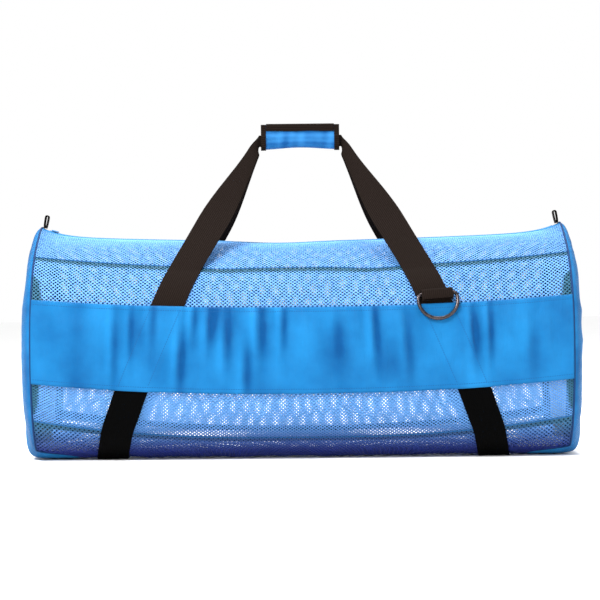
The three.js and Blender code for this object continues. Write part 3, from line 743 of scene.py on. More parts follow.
@dataclass
class Finishes:
    """Every material of the bag, made once."""

    net: bpy.types.Material
    net_inside: bpy.types.Material
    nylon: bpy.types.Material
    wrap_nylon: bpy.types.Material
    coating: bpy.types.Material
    webbing: bpy.types.Material
    binding: bpy.types.Material
    zip_tape: bpy.types.Material
    piping: bpy.types.Material
    blue_thread: bpy.types.Material
    coil: bpy.types.Material
    steel: bpy.types.Material

    @classmethod
    def make(cls) -> "Finishes":
        """Makes all materials.

        Returns:
            The finishes.
        """
        return cls(
            net=NetThread().material(),
            # painted light: a paler copy of the net finish for the strands' flat backs and plain walls,
            # bright as if lit through the holes
            net_inside=NetThread(
                name="net_inside",
                rim=(0.16, 0.40, 0.80),
                ridge=(0.22, 0.46, 0.85),
                shaded_thread=(0.06, 0.2, 0.35),
                base=(0.01, 0.03, 0.2),
            ).material(),
            nylon=CoatedNylon().material(),
            wrap_nylon=CoatedNylon(
                name="nylon_wrap", dark=(0, 0.05, 0.18), light=(0.03, 0.19, 0.45), crease=0.003
            ).material(),
            coating=CoatedNylon(
                name="inner_coating", dark=(0.66, 0.74, 0.84), light=(0.76, 0.82, 0.90)
            ).material(),
            webbing=Webbing().material(),
            # painted shade: the binding tape keeps only 0.6 of its colour near the floor
            binding=Webbing(
                name="binding_tape",
                dark=(0.003, 0.010, 0.016),
                light=(0.008, 0.024, 0.034),
                ribs=500.0,
                picks=500.0,
                shade=0.6,
            ).material(),
            zip_tape=Webbing(
                name="zip_tape",
                dark=(0.02, 0.13, 0.32),
                light=(0.05, 0.21, 0.44),
                ribs=500.0,
                picks=500.0,
                shade=1.0,
            ).material(),
            # partly painted shade: the piping's near-black navy also stands for the shade in the seam's
            # valley
            piping=PlainThread("seam_piping_and_valley_shade", (0.001, 0.025, 0.10)).material(),
            blue_thread=PlainThread("blue_thread", (0.008, 0.09, 0.26)).material(),
            coil=PlainThread("zip_coil", (0.06, 0.20, 0.40), 0.35).material(),
            steel=GunmetalSteel().material(),
        )


# Body surface


@dataclass
class BagForm:
    """The body's surface: superellipse sections along the bag, pressed flat by the floor, with dents."""

    body_length: float = 818.0
    body_depth: float = 366.0
    end_depth: float = 344.0
    crest_height: float = 335.0
    crest_rise: float = 11.0
    end_peak: float = 15.0
    peak_reach: float = 46.0
    widest_share: float = 0.485
    top_squareness: float = 2.15
    base_squareness: float = 2.4
    base_press: float = 12.0
    under_tuck: float = 64.0
    tuck_height: float = 17.0
    base_level: float = 2.2
    band_height: float = 128.5
    band_bottom_lift: float = 0.054
    lift_power: float = 2.3
    dent_fade: float = 40.0
    web_width: float = 48.0
    strap_bend: float = 14.0
    slope_step: float = 4.0
    shares: int = 161
    steps: int = 501

    LINES = {Line.TOP_SEAM: (0.875, 0.06), Line.BAND_TOP: (0.692, 0.045), Line.BOTTOM_SEAM: (0.099, 0.093)}
    # side, along, around, reach along, reach around, depth as a share of the body depth
    DENTS = (
        (0, -0.10, 0.02, 0.16, 0.13, 0.008),
        (-1, -0.30, 0.20, 0.12, 0.09, 0.011),
        (-1, 0.27, 0.21, 0.11, 0.10, 0.013),
        (-1, 0.02, 0.82, 0.30, 0.08, 0.014),
        (1, 0.22, 0.22, 0.14, 0.10, 0.012),
        (1, -0.34, 0.24, 0.12, 0.10, 0.010),
    )
    # a strap's middle at each line, as a share of half the body length
    ROUTE = (
        (Line.BASE_MIDDLE, 0.722),
        (Line.FLOOR, 0.722),
        (Line.BOTTOM_SEAM, 0.691),
        (Line.BAND_BOTTOM, 0.631),
        (Line.BAND_TOP, 0.496),
        (Line.TOP_SEAM, 0.428),
    )

    @property
    def half_length(self) -> float:
        """Half the length between the end seams."""
        return self.body_length / 2

    @cached_property
    def table(self) -> tuple[Array, Array, Array, Array]:
        """Sections at even shares of half the length, resampled at even shares of their running length.

        Returns:
            The shares, each section's girth, and its distances out and heights by share of girth.
        """
        share = np.linspace(0, 1, self.shares)[:, None]
        angle = np.linspace(0, np.pi, 601)[None, :]
        half_depth = mix(self.body_depth, self.end_depth, share**2) / 2
        crest = self.crest_height + self.crest_rise * share**1.5
        widest = crest * self.widest_share
        upper = angle <= np.pi / 2
        power = 2 / np.where(upper, self.top_squareness, self.base_squareness)
        out = half_depth * np.maximum(np.sin(angle), 0) ** power
        rise = np.abs(np.cos(angle)) ** power
        z = np.where(upper, mix(widest, crest, rise), mix(widest, -self.base_press, rise))
        z = z + self.end_peak * share**14 * bell(out, self.peak_reach)
        z = np.maximum(z, self.base_level)
        run = np.cumsum(np.hypot(np.diff(out, axis=1), np.diff(z, axis=1)), axis=1)
        run = np.concatenate([np.zeros((self.shares, 1)), run], axis=1)
        even = np.linspace(0, 1, self.steps)
        outs = np.stack([np.interp(even * r[-1], r, o) for r, o in zip(run, out)])
        heights = np.stack([np.interp(even * r[-1], r, h) for r, h in zip(run, z)])
        return share[:, 0], run[:, -1], outs, heights

    def girth(self, share: Array) -> Array:
        """Half the way round a section, from the zip to the middle of the base."""
        shares, girths, _, _ = self.table
        return np.interp(share, shares, girths)

    def section(self, share: Array, run: Array) -> tuple[Array, Array]:
        """The distance out and the height of a section after a running length from the zip.

        Args:
            share: place along as a share of half the length, 0 to 1.
            run: running lengths.

        Returns:
            Distances out and heights, read from the table in both directions.
        """
        _, _, outs, heights = self.table
        share, run = np.broadcast_arrays(np.asarray(share, float), np.asarray(run, float))
        across = np.clip(run / self.girth(share), 0, 1) * (self.steps - 1)
        along = np.clip(share, 0, 1) * (self.shares - 1)
        i = np.minimum(along.astype(int), self.shares - 2)
        j = np.minimum(across.astype(int), self.steps - 2)
        s, t = along - i, across - j
        read = [
            mix(mix(a[i, j], a[i, j + 1], t), mix(a[i + 1, j], a[i + 1, j + 1], t), s)
            for a in (outs, heights)
        ]
        return read[0], read[1]

    @cached_property
    def line_table(self) -> dict[Line, Array]:
        """Each line's running length from the zip, at the table's shares.

        Returns:
            Running lengths by line.
        """
        shares, girths, _, heights = self.table
        lift = shares**self.lift_power * self.crest_height

        def run_at(height: Array) -> Array:
            """The running length at which each section comes down to a height."""
            even = np.linspace(0, 1, self.steps)
            return np.array([np.interp(-h, -z, even) for h, z in zip(height, heights)]) * girths

        found = {line: run_at(self.crest_height * low + up * lift) for line, (low, up) in self.LINES.items()}
        low = self.crest_height * self.LINES[Line.BAND_TOP][0] - self.band_height
        found[Line.BAND_BOTTOM] = run_at(low + self.band_bottom_lift * lift)
        found[Line.FLOOR] = run_at(np.full_like(lift, self.base_level + 0.02))
        found[Line.ZIP] = np.zeros_like(lift)
        found[Line.BASE_MIDDLE] = girths
        return found

    def once_round(self, count: int) -> tuple[Array, Array, Array]:
        """Stations once round the end seam, from the zip over the front, the base and the back.

        Args:
            count: number of stations.

        Returns:
            Distances round, signs of Y and running lengths from the zip.
        """
        girth = float(self.girth(1.0))
        around = np.arange(count) / count * 2 * girth
        front = around < girth
        return around, np.where(front, -1.0, 1.0), np.where(front, around, 2 * girth - around)

    def line_run(self, line: Line, along: Array) -> Array:
        """A line's running length from the zip at places along."""
        return np.interp(np.abs(along), self.table[0], self.line_table[line])

    def half_length_at(self, along: Array, run: Array) -> Array:
        """Half the length between the end seams, shorter where the ends fold under the bag."""
        return self.half_length - self.under_tuck * self.tucked(self.section(np.abs(along), run)[1])

    def tucked(self, z: Array) -> Array:
        """How much of the fold under the bag a height has, 0 above it and 1 on the floor."""
        return smooth((self.tuck_height - z) / (self.tuck_height - self.base_level))

    def plain_point(self, side: Array, along: Array, run: Array) -> Array:
        """A point of the undented cloth."""
        out, z = self.section(np.abs(along), run)
        return np.stack(np.broadcast_arrays(along * self.half_length_at(along, run), side * out, z), axis=-1)

    def normal(self, side: Array, along: Array, run: Array) -> Array:
        """The way out of the cloth, from the steps along and around.

        Args:
            side: sign of Y.
            along: places along, -1 to 1.
            run: running lengths from the zip.

        Returns:
            Unit vectors that point out of the bag.
        """
        step, way = 0.004, 2.5
        limit = self.girth(np.abs(along))
        low, high = np.maximum(along - step, -1), np.minimum(along + step, 1)
        near, far = np.maximum(run - way, 0), np.minimum(run + way, limit)
        lengthwise = self.plain_point(side, high, run) - self.plain_point(side, low, run)
        around = self.plain_point(side, along, far) - self.plain_point(side, along, near)
        level = np.zeros_like(around)
        level[..., 1] = side
        around = np.where((run < way)[..., None], level, around)
        around = np.where((run > limit - way)[..., None], -level, around)
        return unit(np.cross(lengthwise, around) * np.asarray(side)[..., None])

    def point(self, side: Array, along: Array, run: Array, lift: Array) -> Array:
        """Points of the dented cloth, lifted off it.

        Args:
            side: sign of Y.
            along: places along, -1 to 1 between the end seams.
            run: running lengths from the zip.
            lift: distances out of the cloth.

        Returns:
            The points.
        """
        side, along, run, lift = np.broadcast_arrays(side, along, run, lift)
        side, along, run = side.astype(float), along.astype(float), run.astype(float)
        plain = self.plain_point(side, along, run)
        around = run / self.girth(np.abs(along))
        depth = np.zeros(plain.shape[:-1])
        for which, place, low, reach, deep, share in self.DENTS:
            here = 1.0 if which == 0 else (side == which)
            dent = bell(along - place, reach) * bell(around - low, deep)
            depth = depth + here * share * self.body_depth * dent
        depth = depth * smooth((plain[..., 2] - self.base_level) / self.dent_fade)
        return plain + self.normal(side, along, run) * (lift - depth)[..., None]

    def place_at(self, x: Array, run: Array) -> Array:
        """The share along the bag that has a distance x from its middle."""
        return x / self.half_length_at(x / self.half_length, run)

    @cached_property
    def route_nodes(self) -> tuple[Array, Array]:
        """Running lengths and distances from the middle of a strap's route, from the top seam down.

        Returns:
            The running lengths and the distances.
        """
        runs = [float(self.line_run(line, share)) for line, share in self.ROUTE]
        places = [share * self.half_length for _, share in self.ROUTE]
        return np.array(runs[::-1]), np.array(places[::-1])

    def strap_x(self, run: Array) -> Array:
        """How far a strap's middle is from the bag's middle, rounded where its route turns.

        Args:
            run: running lengths from the zip.

        Returns:
            The distances.
        """
        runs, places = self.route_nodes
        offsets = np.linspace(-self.strap_bend, self.strap_bend, 9)
        return np.mean([np.interp(run + offset, runs, places) for offset in offsets], axis=0)

    def strap_cut(self, run: Array) -> Array:
        """Half a strap's width along a level cut."""
        step = self.slope_step
        slope = (self.strap_x(run + step) - self.strap_x(run - step)) / (2 * step)
        return self.web_width / 2 * np.hypot(1, slope)

    def route_run(self, line: Line) -> float:
        """The running length at which a strap's middle crosses a line."""
        return float(self.line_run(line, dict(self.ROUTE)[line]))

    def over_strap(self, x: Array, run: Array, shoulder: float) -> Array:
        """1 over a strap and 0 away from it, with soft shoulders."""
        beside = np.abs(np.abs(x) - self.strap_x(run)) - self.strap_cut(run)
        return 1 - smooth(beside / shoulder + 0.15)


# Mesh panels


@dataclass
class MeshPanels:
    """The open mesh: a net of diamonds, each strand a ridge over a flat back."""

    form: BagForm
    finishes: Finishes
    half_pitches: tuple[tuple[float, float], ...] = ((3.3, 2.9), (2.7, 3.6))
    base_pitch: float = 3.5
    strands: tuple[float, float] = (0.52, 0.58)
    base_strand: float = 0.62
    wall: float = 1.2
    ridge: float = 0.7
    wander: float = 0.5
    slack: float = 0.6
    uneven: float = 0.22
    bound: float = 11.0
    fade: float = 22.0
    zip_reach: float = 16.15
    seam_gap: float = 0.15
    under_band: float = 9.0
    backing_drop: float = 0.2
    corner_shade_width: float = 30.0
    corner_shade_height: float = 34.0

    # painted shade over the allowance that stands in from the end seam beside the band: line, way from it,
    # reach and width
    LENSES = ((Line.BAND_TOP, 1, 44.0, 17.0), (Line.BAND_BOTTOM, -1, 50.0, 12.0))

    @staticmethod
    def lattice(columns: int, rows: int, strand: float) -> tuple[Array, Array, list[Array]]:
        """A net of diamonds on whole numbers: knots where column and row add up even, holes between.

        Each hole has four corners, and a strand's two slopes run from its ridge, which joins two
        knots, down to the corners of the holes beside it. The back is flat.

        Args:
            columns: steps along, even.
            rows: steps across, even.
            strand: half a strand's width, as a share of a step.

        Returns:
            Coordinates in steps, levels of 1 for ridge points and 0 for the rest, and three groups
            of faces: the slopes, the flat back, and the flat triangles along the edges.
        """
        p, q = np.meshgrid(np.arange(columns + 1), np.arange(rows + 1), indexing="ij")
        even = (p + q) % 2 == 0
        knot = np.full(p.shape, -1)
        knot[even] = np.arange(even.sum())
        hole = np.full(p.shape, -1)
        hole[~even] = even.sum() + 4 * np.arange((~even).sum())
        reach = 1 - strand
        corners = np.array([[reach, 0], [0, reach], [-reach, 0], [0, -reach]])
        holes = np.stack([p[~even], q[~even]], axis=-1)
        points = np.concatenate(
            [np.stack([p[even], q[even]], axis=-1).astype(float), (holes[:, None] + corners).reshape(-1, 2)]
        )
        points = np.clip(points, 0, [columns, rows])
        levels = (np.arange(len(points)) < even.sum()).astype(float)
        grown_knot, grown_hole = np.pad(knot, 1, constant_values=-1), np.pad(hole, 1, constant_values=-1)
        steps = ((1, 0), (0, 1), (-1, 0), (0, -1))

        def near(table: Array, where: Array, step: tuple[int, int]) -> Array:
            """The entries of a table one step away."""
            return table[where[:, 0] + 1 + step[0], where[:, 1] + 1 + step[1]]

        slopes, flats, triangles = [], [], []
        own = hole[~even]
        for k in range(4):
            after = (k + 1) % 4
            first, second = near(grown_knot, holes, steps[k]), near(grown_knot, holes, steps[after])
            face = np.stack([first, second, own + after, own + k], axis=-1)
            slopes.append(face[(face >= 0).all(axis=1)])
        knots = np.stack([p[even], q[even]], axis=-1)
        beside = [near(grown_hole, knots, step) for step in steps]
        # the hole one step away shows its corner that points back to the knot
        inner = [np.where(index >= 0, index + (k + 2) % 4, -1) for k, index in enumerate(beside)]
        square = np.stack(inner, axis=-1)
        whole = (square >= 0).all(axis=1)
        flats.append(square[whole][:, ::-1])
        for k in range(4):
            part = square[(square[:, k] < 0) & (np.delete(square, k, axis=1) >= 0).all(axis=1)]
            triangles.append(np.delete(part, k, axis=1)[:, ::-1])
        for turn in (1, -1):
            right, other = near(grown_hole, knots, (1, 0)), near(grown_hole, knots, (0, turn))
            up = 1 if turn > 0 else 3
            face = np.stack([right + 2, right + up, other, other + (up + 2) % 4], axis=-1)
            good = (right >= 0) & (other >= 0) & (near(grown_knot, knots, (1, turn)) >= 0)
            flats.append(face[good] if turn < 0 else face[good][:, ::-1])
        return points, levels, [np.concatenate(group) for group in (slopes, flats, triangles)]

    def net(
        self, side: Side, top: Array, bottom: Array, pitch: tuple[float, float], length: float, strand: float
    ) -> Surface:
        """A net between two lines of one side, its rows spread evenly from one to the other.

        Args:
            side: front or back.
            top: running lengths of the upper line at the table's shares.
            bottom: the same for the lower line.
            pitch: half pitches along and around.
            length: rough distance between the lines.
            strand: half a strand's width, as a share of a half pitch.

        Returns:
            The net.
        """
        columns = 2 * round(self.form.body_length / pitch[0] / 2)
        rows = 2 * round(length / pitch[1] / 2)
        points, levels, faces = self.lattice(columns, rows, strand)
        along = points[:, 0] / columns * 2 - 1
        share = points[:, 1] / rows
        shares = self.form.table[0]
        low, high = np.interp(np.abs(along), shares, top), np.interp(np.abs(along), shares, bottom)
        x = along * self.form.half_length
        free = smooth((np.minimum(share, 1 - share) * length - self.bound) / self.fade)
        free = free * smooth(((1 - np.abs(along)) * self.form.half_length - self.bound) / self.fade)
        flat = mix(low, high, share)
        draw = np.random.default_rng(rows + 10 * side.value + 20)
        loose = (share > 0) & (share < 1) & (np.abs(along) < 1)
        uneven = draw.normal(0, self.uneven, (2, len(points))) * loose
        run = flat + free * self.wander * waves(x, flat, 21 + side.value, 6, 45, 150) + uneven[0]
        drift = free * self.wander * waves(x, flat, 51 + side.value, 6, 45, 150) + uneven[1]
        moved = along + drift / self.form.half_length
        lift = free * self.slack * (waves(x, flat * 0.6, 71 + side.value, 8, 50, 190) - 0.6)
        placed = self.form.point(side.value, moved, run, lift + (levels - 1) * self.ridge)
        places = on_cloth(x, flat)
        turned = faces if side is Side.BACK else [face[:, ::-1] for face in faces]
        # the tones are the share of painted shade and the ridge level for the painted highlight
        return Surface(placed, turned, places, np.stack([self.painted_shade(np.abs(x), run), levels], axis=-1))

    def painted_shade(self, x: Array, run: Array) -> Array:
        """Where shade is painted on the net: 1 over a tape, where sewn layers lie under it, with a ragged
        inner edge beside the ends, and less at the corners.

        Args:
            x: distances from the bag's middle.
            run: running lengths from the zip.

        Returns:
            Shares from 0 to 1.
        """
        form, away = self.form, self.form.half_length - x
        along = x / form.half_length
        ragged = 1.2 * waves(x * 0, run, 13, 4, 9, 30)
        over = np.zeros_like(run)
        for line in (Line.TOP_SEAM, Line.BOTTOM_SEAM):
            below = run - form.line_run(line, along)
            over = np.maximum(over, smooth((below + 0.8) / 1.2) * smooth((self.bound - 1.4 - below) / 1.2))
        for line, toward, reach, width in self.LENSES:
            above = toward * (form.line_run(line, along) - run)
            lens = width * np.sqrt(np.clip(1 - (above / reach) ** 2, 0, 1)) * (above > -6)
            over = np.maximum(over, smooth((lens + ragged - away) / 2.0))
        # painted shade at the lower corners, just below the bottom seam
        corner = run - form.line_run(Line.BOTTOM_SEAM, along)
        closing = 1 - smooth((corner - self.corner_shade_height) / 14)
        corner_shade = self.corner_shade_width * smooth(corner / 8) * closing + ragged
        over = np.maximum(over, 0.9 * smooth((corner_shade - away) / 3.0))
        # painted shade in the top corners by the ends of the zip
        return np.maximum(over, 0.45 * smooth((42 - away) / 30) * bell(run - 16, 16))

    def backing(self, side: Side, top: Array, bottom: Array) -> Surface:
        """The strip of the panel that the band covers, as a plain wall.

        Args:
            side: front or back.
            top: running lengths of its upper edge at the table's shares.
            bottom: the same for its lower edge.

        Returns:
            The closed strip.
        """
        along, share = np.meshgrid(np.linspace(-1, 1, 121), np.linspace(0, 1, 9), indexing="ij")
        shares = self.form.table[0]
        run = mix(np.interp(np.abs(along), shares, top), np.interp(np.abs(along), shares, bottom), share)
        places = on_cloth(along * self.form.half_length, run)
        outer = self.form.point(side.value, along, run, -self.backing_drop)
        return shell(outer, self.form.point(side.value, along, run, -self.wall), places)

    def build(self) -> None:
        """Makes the top, side and base panels."""
        lines = self.form.line_table
        gap = self.seam_gap
        top_seam, bottom_seam = lines[Line.TOP_SEAM], lines[Line.BOTTOM_SEAM]
        upper, lower = lines[Line.BAND_TOP] + self.under_band, lines[Line.BAND_BOTTOM] - self.under_band
        for side, fine, strand in zip(Side, self.half_pitches, self.strands):
            zip_edge = np.full_like(top_seam, self.zip_reach)
            length = float(top_seam[0]) - self.zip_reach
            top = self.net(side, zip_edge, top_seam - gap, fine, length, strand)
            self.dress(f"top_mesh_{side.word}", [top])
            above = self.net(side, top_seam + gap, upper, fine, float(upper[0] - top_seam[0]), strand)
            below = self.net(side, lower, bottom_seam - gap, fine, float(bottom_seam[0] - lower[0]), strand)
            self.dress(f"{side.word}_mesh", [above, below], self.backing(side, upper - 1, lower + 1))
        girths = lines[Line.BASE_MIDDLE]
        length, coarse = float(girths[0] - bottom_seam[0]), (self.base_pitch, self.base_pitch)
        start = bottom_seam + gap
        halves = [self.net(side, start, girths, coarse, length, self.base_strand) for side in Side]
        self.dress("bottom_mesh", halves)

    def dress(self, node: str, nets: list[Surface], *walls: Surface) -> None:
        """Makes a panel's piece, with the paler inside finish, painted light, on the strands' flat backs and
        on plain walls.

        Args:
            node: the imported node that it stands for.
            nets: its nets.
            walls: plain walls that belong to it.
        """
        cloth = nets[0].joined(*nets[1:], *walls)
        piece = make_piece(f"{node}_net", cloth, self.finishes.net, (node,))
        # a net's first group of faces of three is its slopes
        slopes = [k < 3 * len(nets) and k % 3 == 0 for k in range(len(cloth.faces))]
        line_faces(piece, self.finishes.net_inside, [len(face) for face in cloth.faces], slopes)


# Band


@dataclass
class SideBands:
    """The nylon band of each side: hemmed, sewn over the straps, and gathered between them."""

    form: BagForm
    finishes: Finishes
    wall: float = 1.2
    rest: float = 1.2
    web_wall: float = 1.8
    layer_gap: float = 0.4
    hem: float = 7.0
    hem_rise: float = 0.5
    shoulder: float = 7.0
    relief: float = 1.1
    deepest: float = 3.4
    stitch_inset: float = 3.5
    columns: int = 420
    rows: int = 32

    # share along at the band's top and bottom edge, width as a share of half the length, height in
    # millimetres, share of the band's height where the fold is highest, and how far it spreads
    FOLDS = (
        (-0.88, -0.88, 0.030, 1.2, 0.50, 0.60),
        (-0.705, -0.712, 0.012, 2.4, 0.50, 0.50),
        (-0.642, -0.648, 0.010, 2.0, 0.30, 0.40),
        (-0.564, -0.575, 0.012, 2.4, 0.15, 0.32),
        (-0.455, -0.475, 0.015, 3.8, 0.62, 0.38),
        (-0.410, -0.425, 0.011, 2.8, 0.15, 0.28),
        (-0.352, -0.375, 0.015, 3.6, 0.22, 0.32),
        (-0.292, -0.300, 0.014, 3.0, 0.40, 0.36),
        (-0.215, -0.228, 0.014, 3.0, 0.75, 0.34),
        (-0.176, -0.172, 0.017, 4.0, 0.22, 0.38),
        (-0.083, -0.090, 0.012, 3.0, 0.18, 0.36),
        (0.02, 0.04, 0.050, 1.6, 0.60, 0.45),
        (0.10, 0.12, 0.018, 1.8, 0.30, 0.35),
        (0.246, 0.262, 0.014, 3.6, 0.28, 0.38),
        (0.36, 0.38, 0.014, 2.2, 0.45, 0.40),
        (0.608, 0.624, 0.013, 3.2, 0.35, 0.36),
        (0.676, 0.680, 0.011, 2.8, 0.30, 0.42),
        (0.82, 0.82, 0.020, 1.6, 0.50, 0.50),
    )

    def edges(self, along: Array) -> tuple[Array, Array]:
        """Running lengths of the band's top and bottom edge at places along."""
        return self.form.line_run(Line.BAND_TOP, along), self.form.line_run(Line.BAND_BOTTOM, along)

    def tone(self, side: Side, along: Array, down: Array) -> Array:
        """Light and shade of the folds: brighter on each ridge and dark in the furrow beside it.

        Args:
            side: front or back.
            along: places along, -1 to 1.
            down: shares of the way down.

        Returns:
            Tones from -1 to 1.
        """
        total = 0.3 * waves(along * self.form.half_length, down * 50, 17 + side.value, 10, 24, 130)
        for top, bottom, width, high, crest, reach in self.FOLDS:
            across = along - mix(top, bottom, down) * -side.value
            lit = 0.5 * bell(across + 0.4 * width, 1.2 * width)
            fold = lit - 1.1 * bell(across - 1.7 * width, 1.2 * width)
            total = total + high / self.deepest * bell(down - crest, reach) * fold
        # painted shade in a thin line 2 mm below the band's top edge
        return np.clip(total - 0.5 * bell(down * self.form.band_height - 2, 1.6), -1, 1)

    def rise(self, side: Side, along: Array, down: Array, run: Array) -> Array:
        """How far the band's outer face stands off the mesh.

        It is its own wall, a plateau over each strap, a soft relief, and for each fold a ridge with
        a narrower furrow to the right of it.

        Args:
            side: front or back.
            along: places along, -1 to 1.
            down: shares of the way from the top edge to the bottom edge.
            run: running lengths from the zip.

        Returns:
            Distances out of the mesh.
        """
        x = along * self.form.half_length
        over = self.form.over_strap(x, run, self.shoulder)
        height = self.rest + self.wall + (self.layer_gap * 2 + self.web_wall - self.rest) * over
        held = smooth(np.minimum(down, 1 - down) / 0.12)
        loose = 1 - 0.75 * over
        for top, bottom, width, high, crest, reach in self.FOLDS:
            across = along - mix(top, bottom, down) * -side.value
            fold = bell(across, width) - 0.55 * bell(across - 1.6 * width, 0.6 * width)
            height = height + high * bell(down - crest, reach) * fold * held * loose
        height = height + self.relief * waves(x, run * 0.4, 11 + side.value, 10, 20, 70) * held * loose
        height = np.maximum(height, self.wall + 0.1)
        rim = np.minimum(down, 1 - down) * self.form.band_height
        return height + self.hem_rise * smooth((self.hem - rim) / 1.5)

    def build(self) -> None:
        """Makes both bands and their rows of stitches."""
        columns, rows = np.linspace(-1, 1, self.columns + 1), np.linspace(0, 1, self.rows + 1)
        along, down = np.meshgrid(columns, rows, indexing="ij")
        top, bottom = self.edges(along)
        run = mix(top, bottom, down)
        places = on_cloth(along * self.form.half_length, run)
        for side in Side:
            rise = self.rise(side, along, down, run)
            outer = self.form.point(side.value, along, run, rise)
            inner = self.form.point(side.value, along, run, rise - self.wall)
            name = f"{side.word}_band"
            cloth = shell(outer, inner, places, self.tone(side, along, down))
            make_piece(f"{name}_cloth", cloth, self.finishes.nylon, (name,))
            make_piece(f"{name}_stitches", self.stitches(side), self.finishes.blue_thread)

    def stitches(self, side: Side) -> Surface:
        """Stitches along both hems and beside each hidden strap.

        Args:
            side: front or back.

        Returns:
            The stitches.
        """
        rows = []
        along = np.linspace(-0.995, 0.995, 420)
        for line, inset in ((Line.BAND_TOP, self.hem), (Line.BAND_BOTTOM, -self.hem)):
            run = self.form.line_run(line, along) + inset
            rows.append(self.row_on_band(side, along, run))
        for end in End:
            for edge in (-1, 1):
                down = np.linspace(0.06, 0.94, 60)
                middle = self.form.strap_x(self.form.route_nodes[0].mean()) / self.form.half_length
                top, bottom = self.edges(middle)
                run = mix(top, bottom, down)
                away = edge * (self.form.strap_cut(run) - self.stitch_inset)
                x = end.value * (self.form.strap_x(run) + away)
                rows.append(self.row_on_band(side, self.form.place_at(x, run), run))
        return rows[0].joined(*rows[1:])

    def row_on_band(self, side: Side, along: Array, run: Array) -> Surface:
        """A row of stitches that follows places on the band.

        Args:
            side: front or back.
            along: places along, -1 to 1.
            run: running lengths from the zip.

        Returns:
            The stitches.
        """
        top, bottom = self.edges(along)
        rise = self.rise(side, along, (run - top) / (bottom - top), run)
        path = self.form.point(side.value, along, run, rise)
        return stitch_row(path, self.form.normal(np.full_like(run, side.value), along, run))


# Ends, bindings and seams


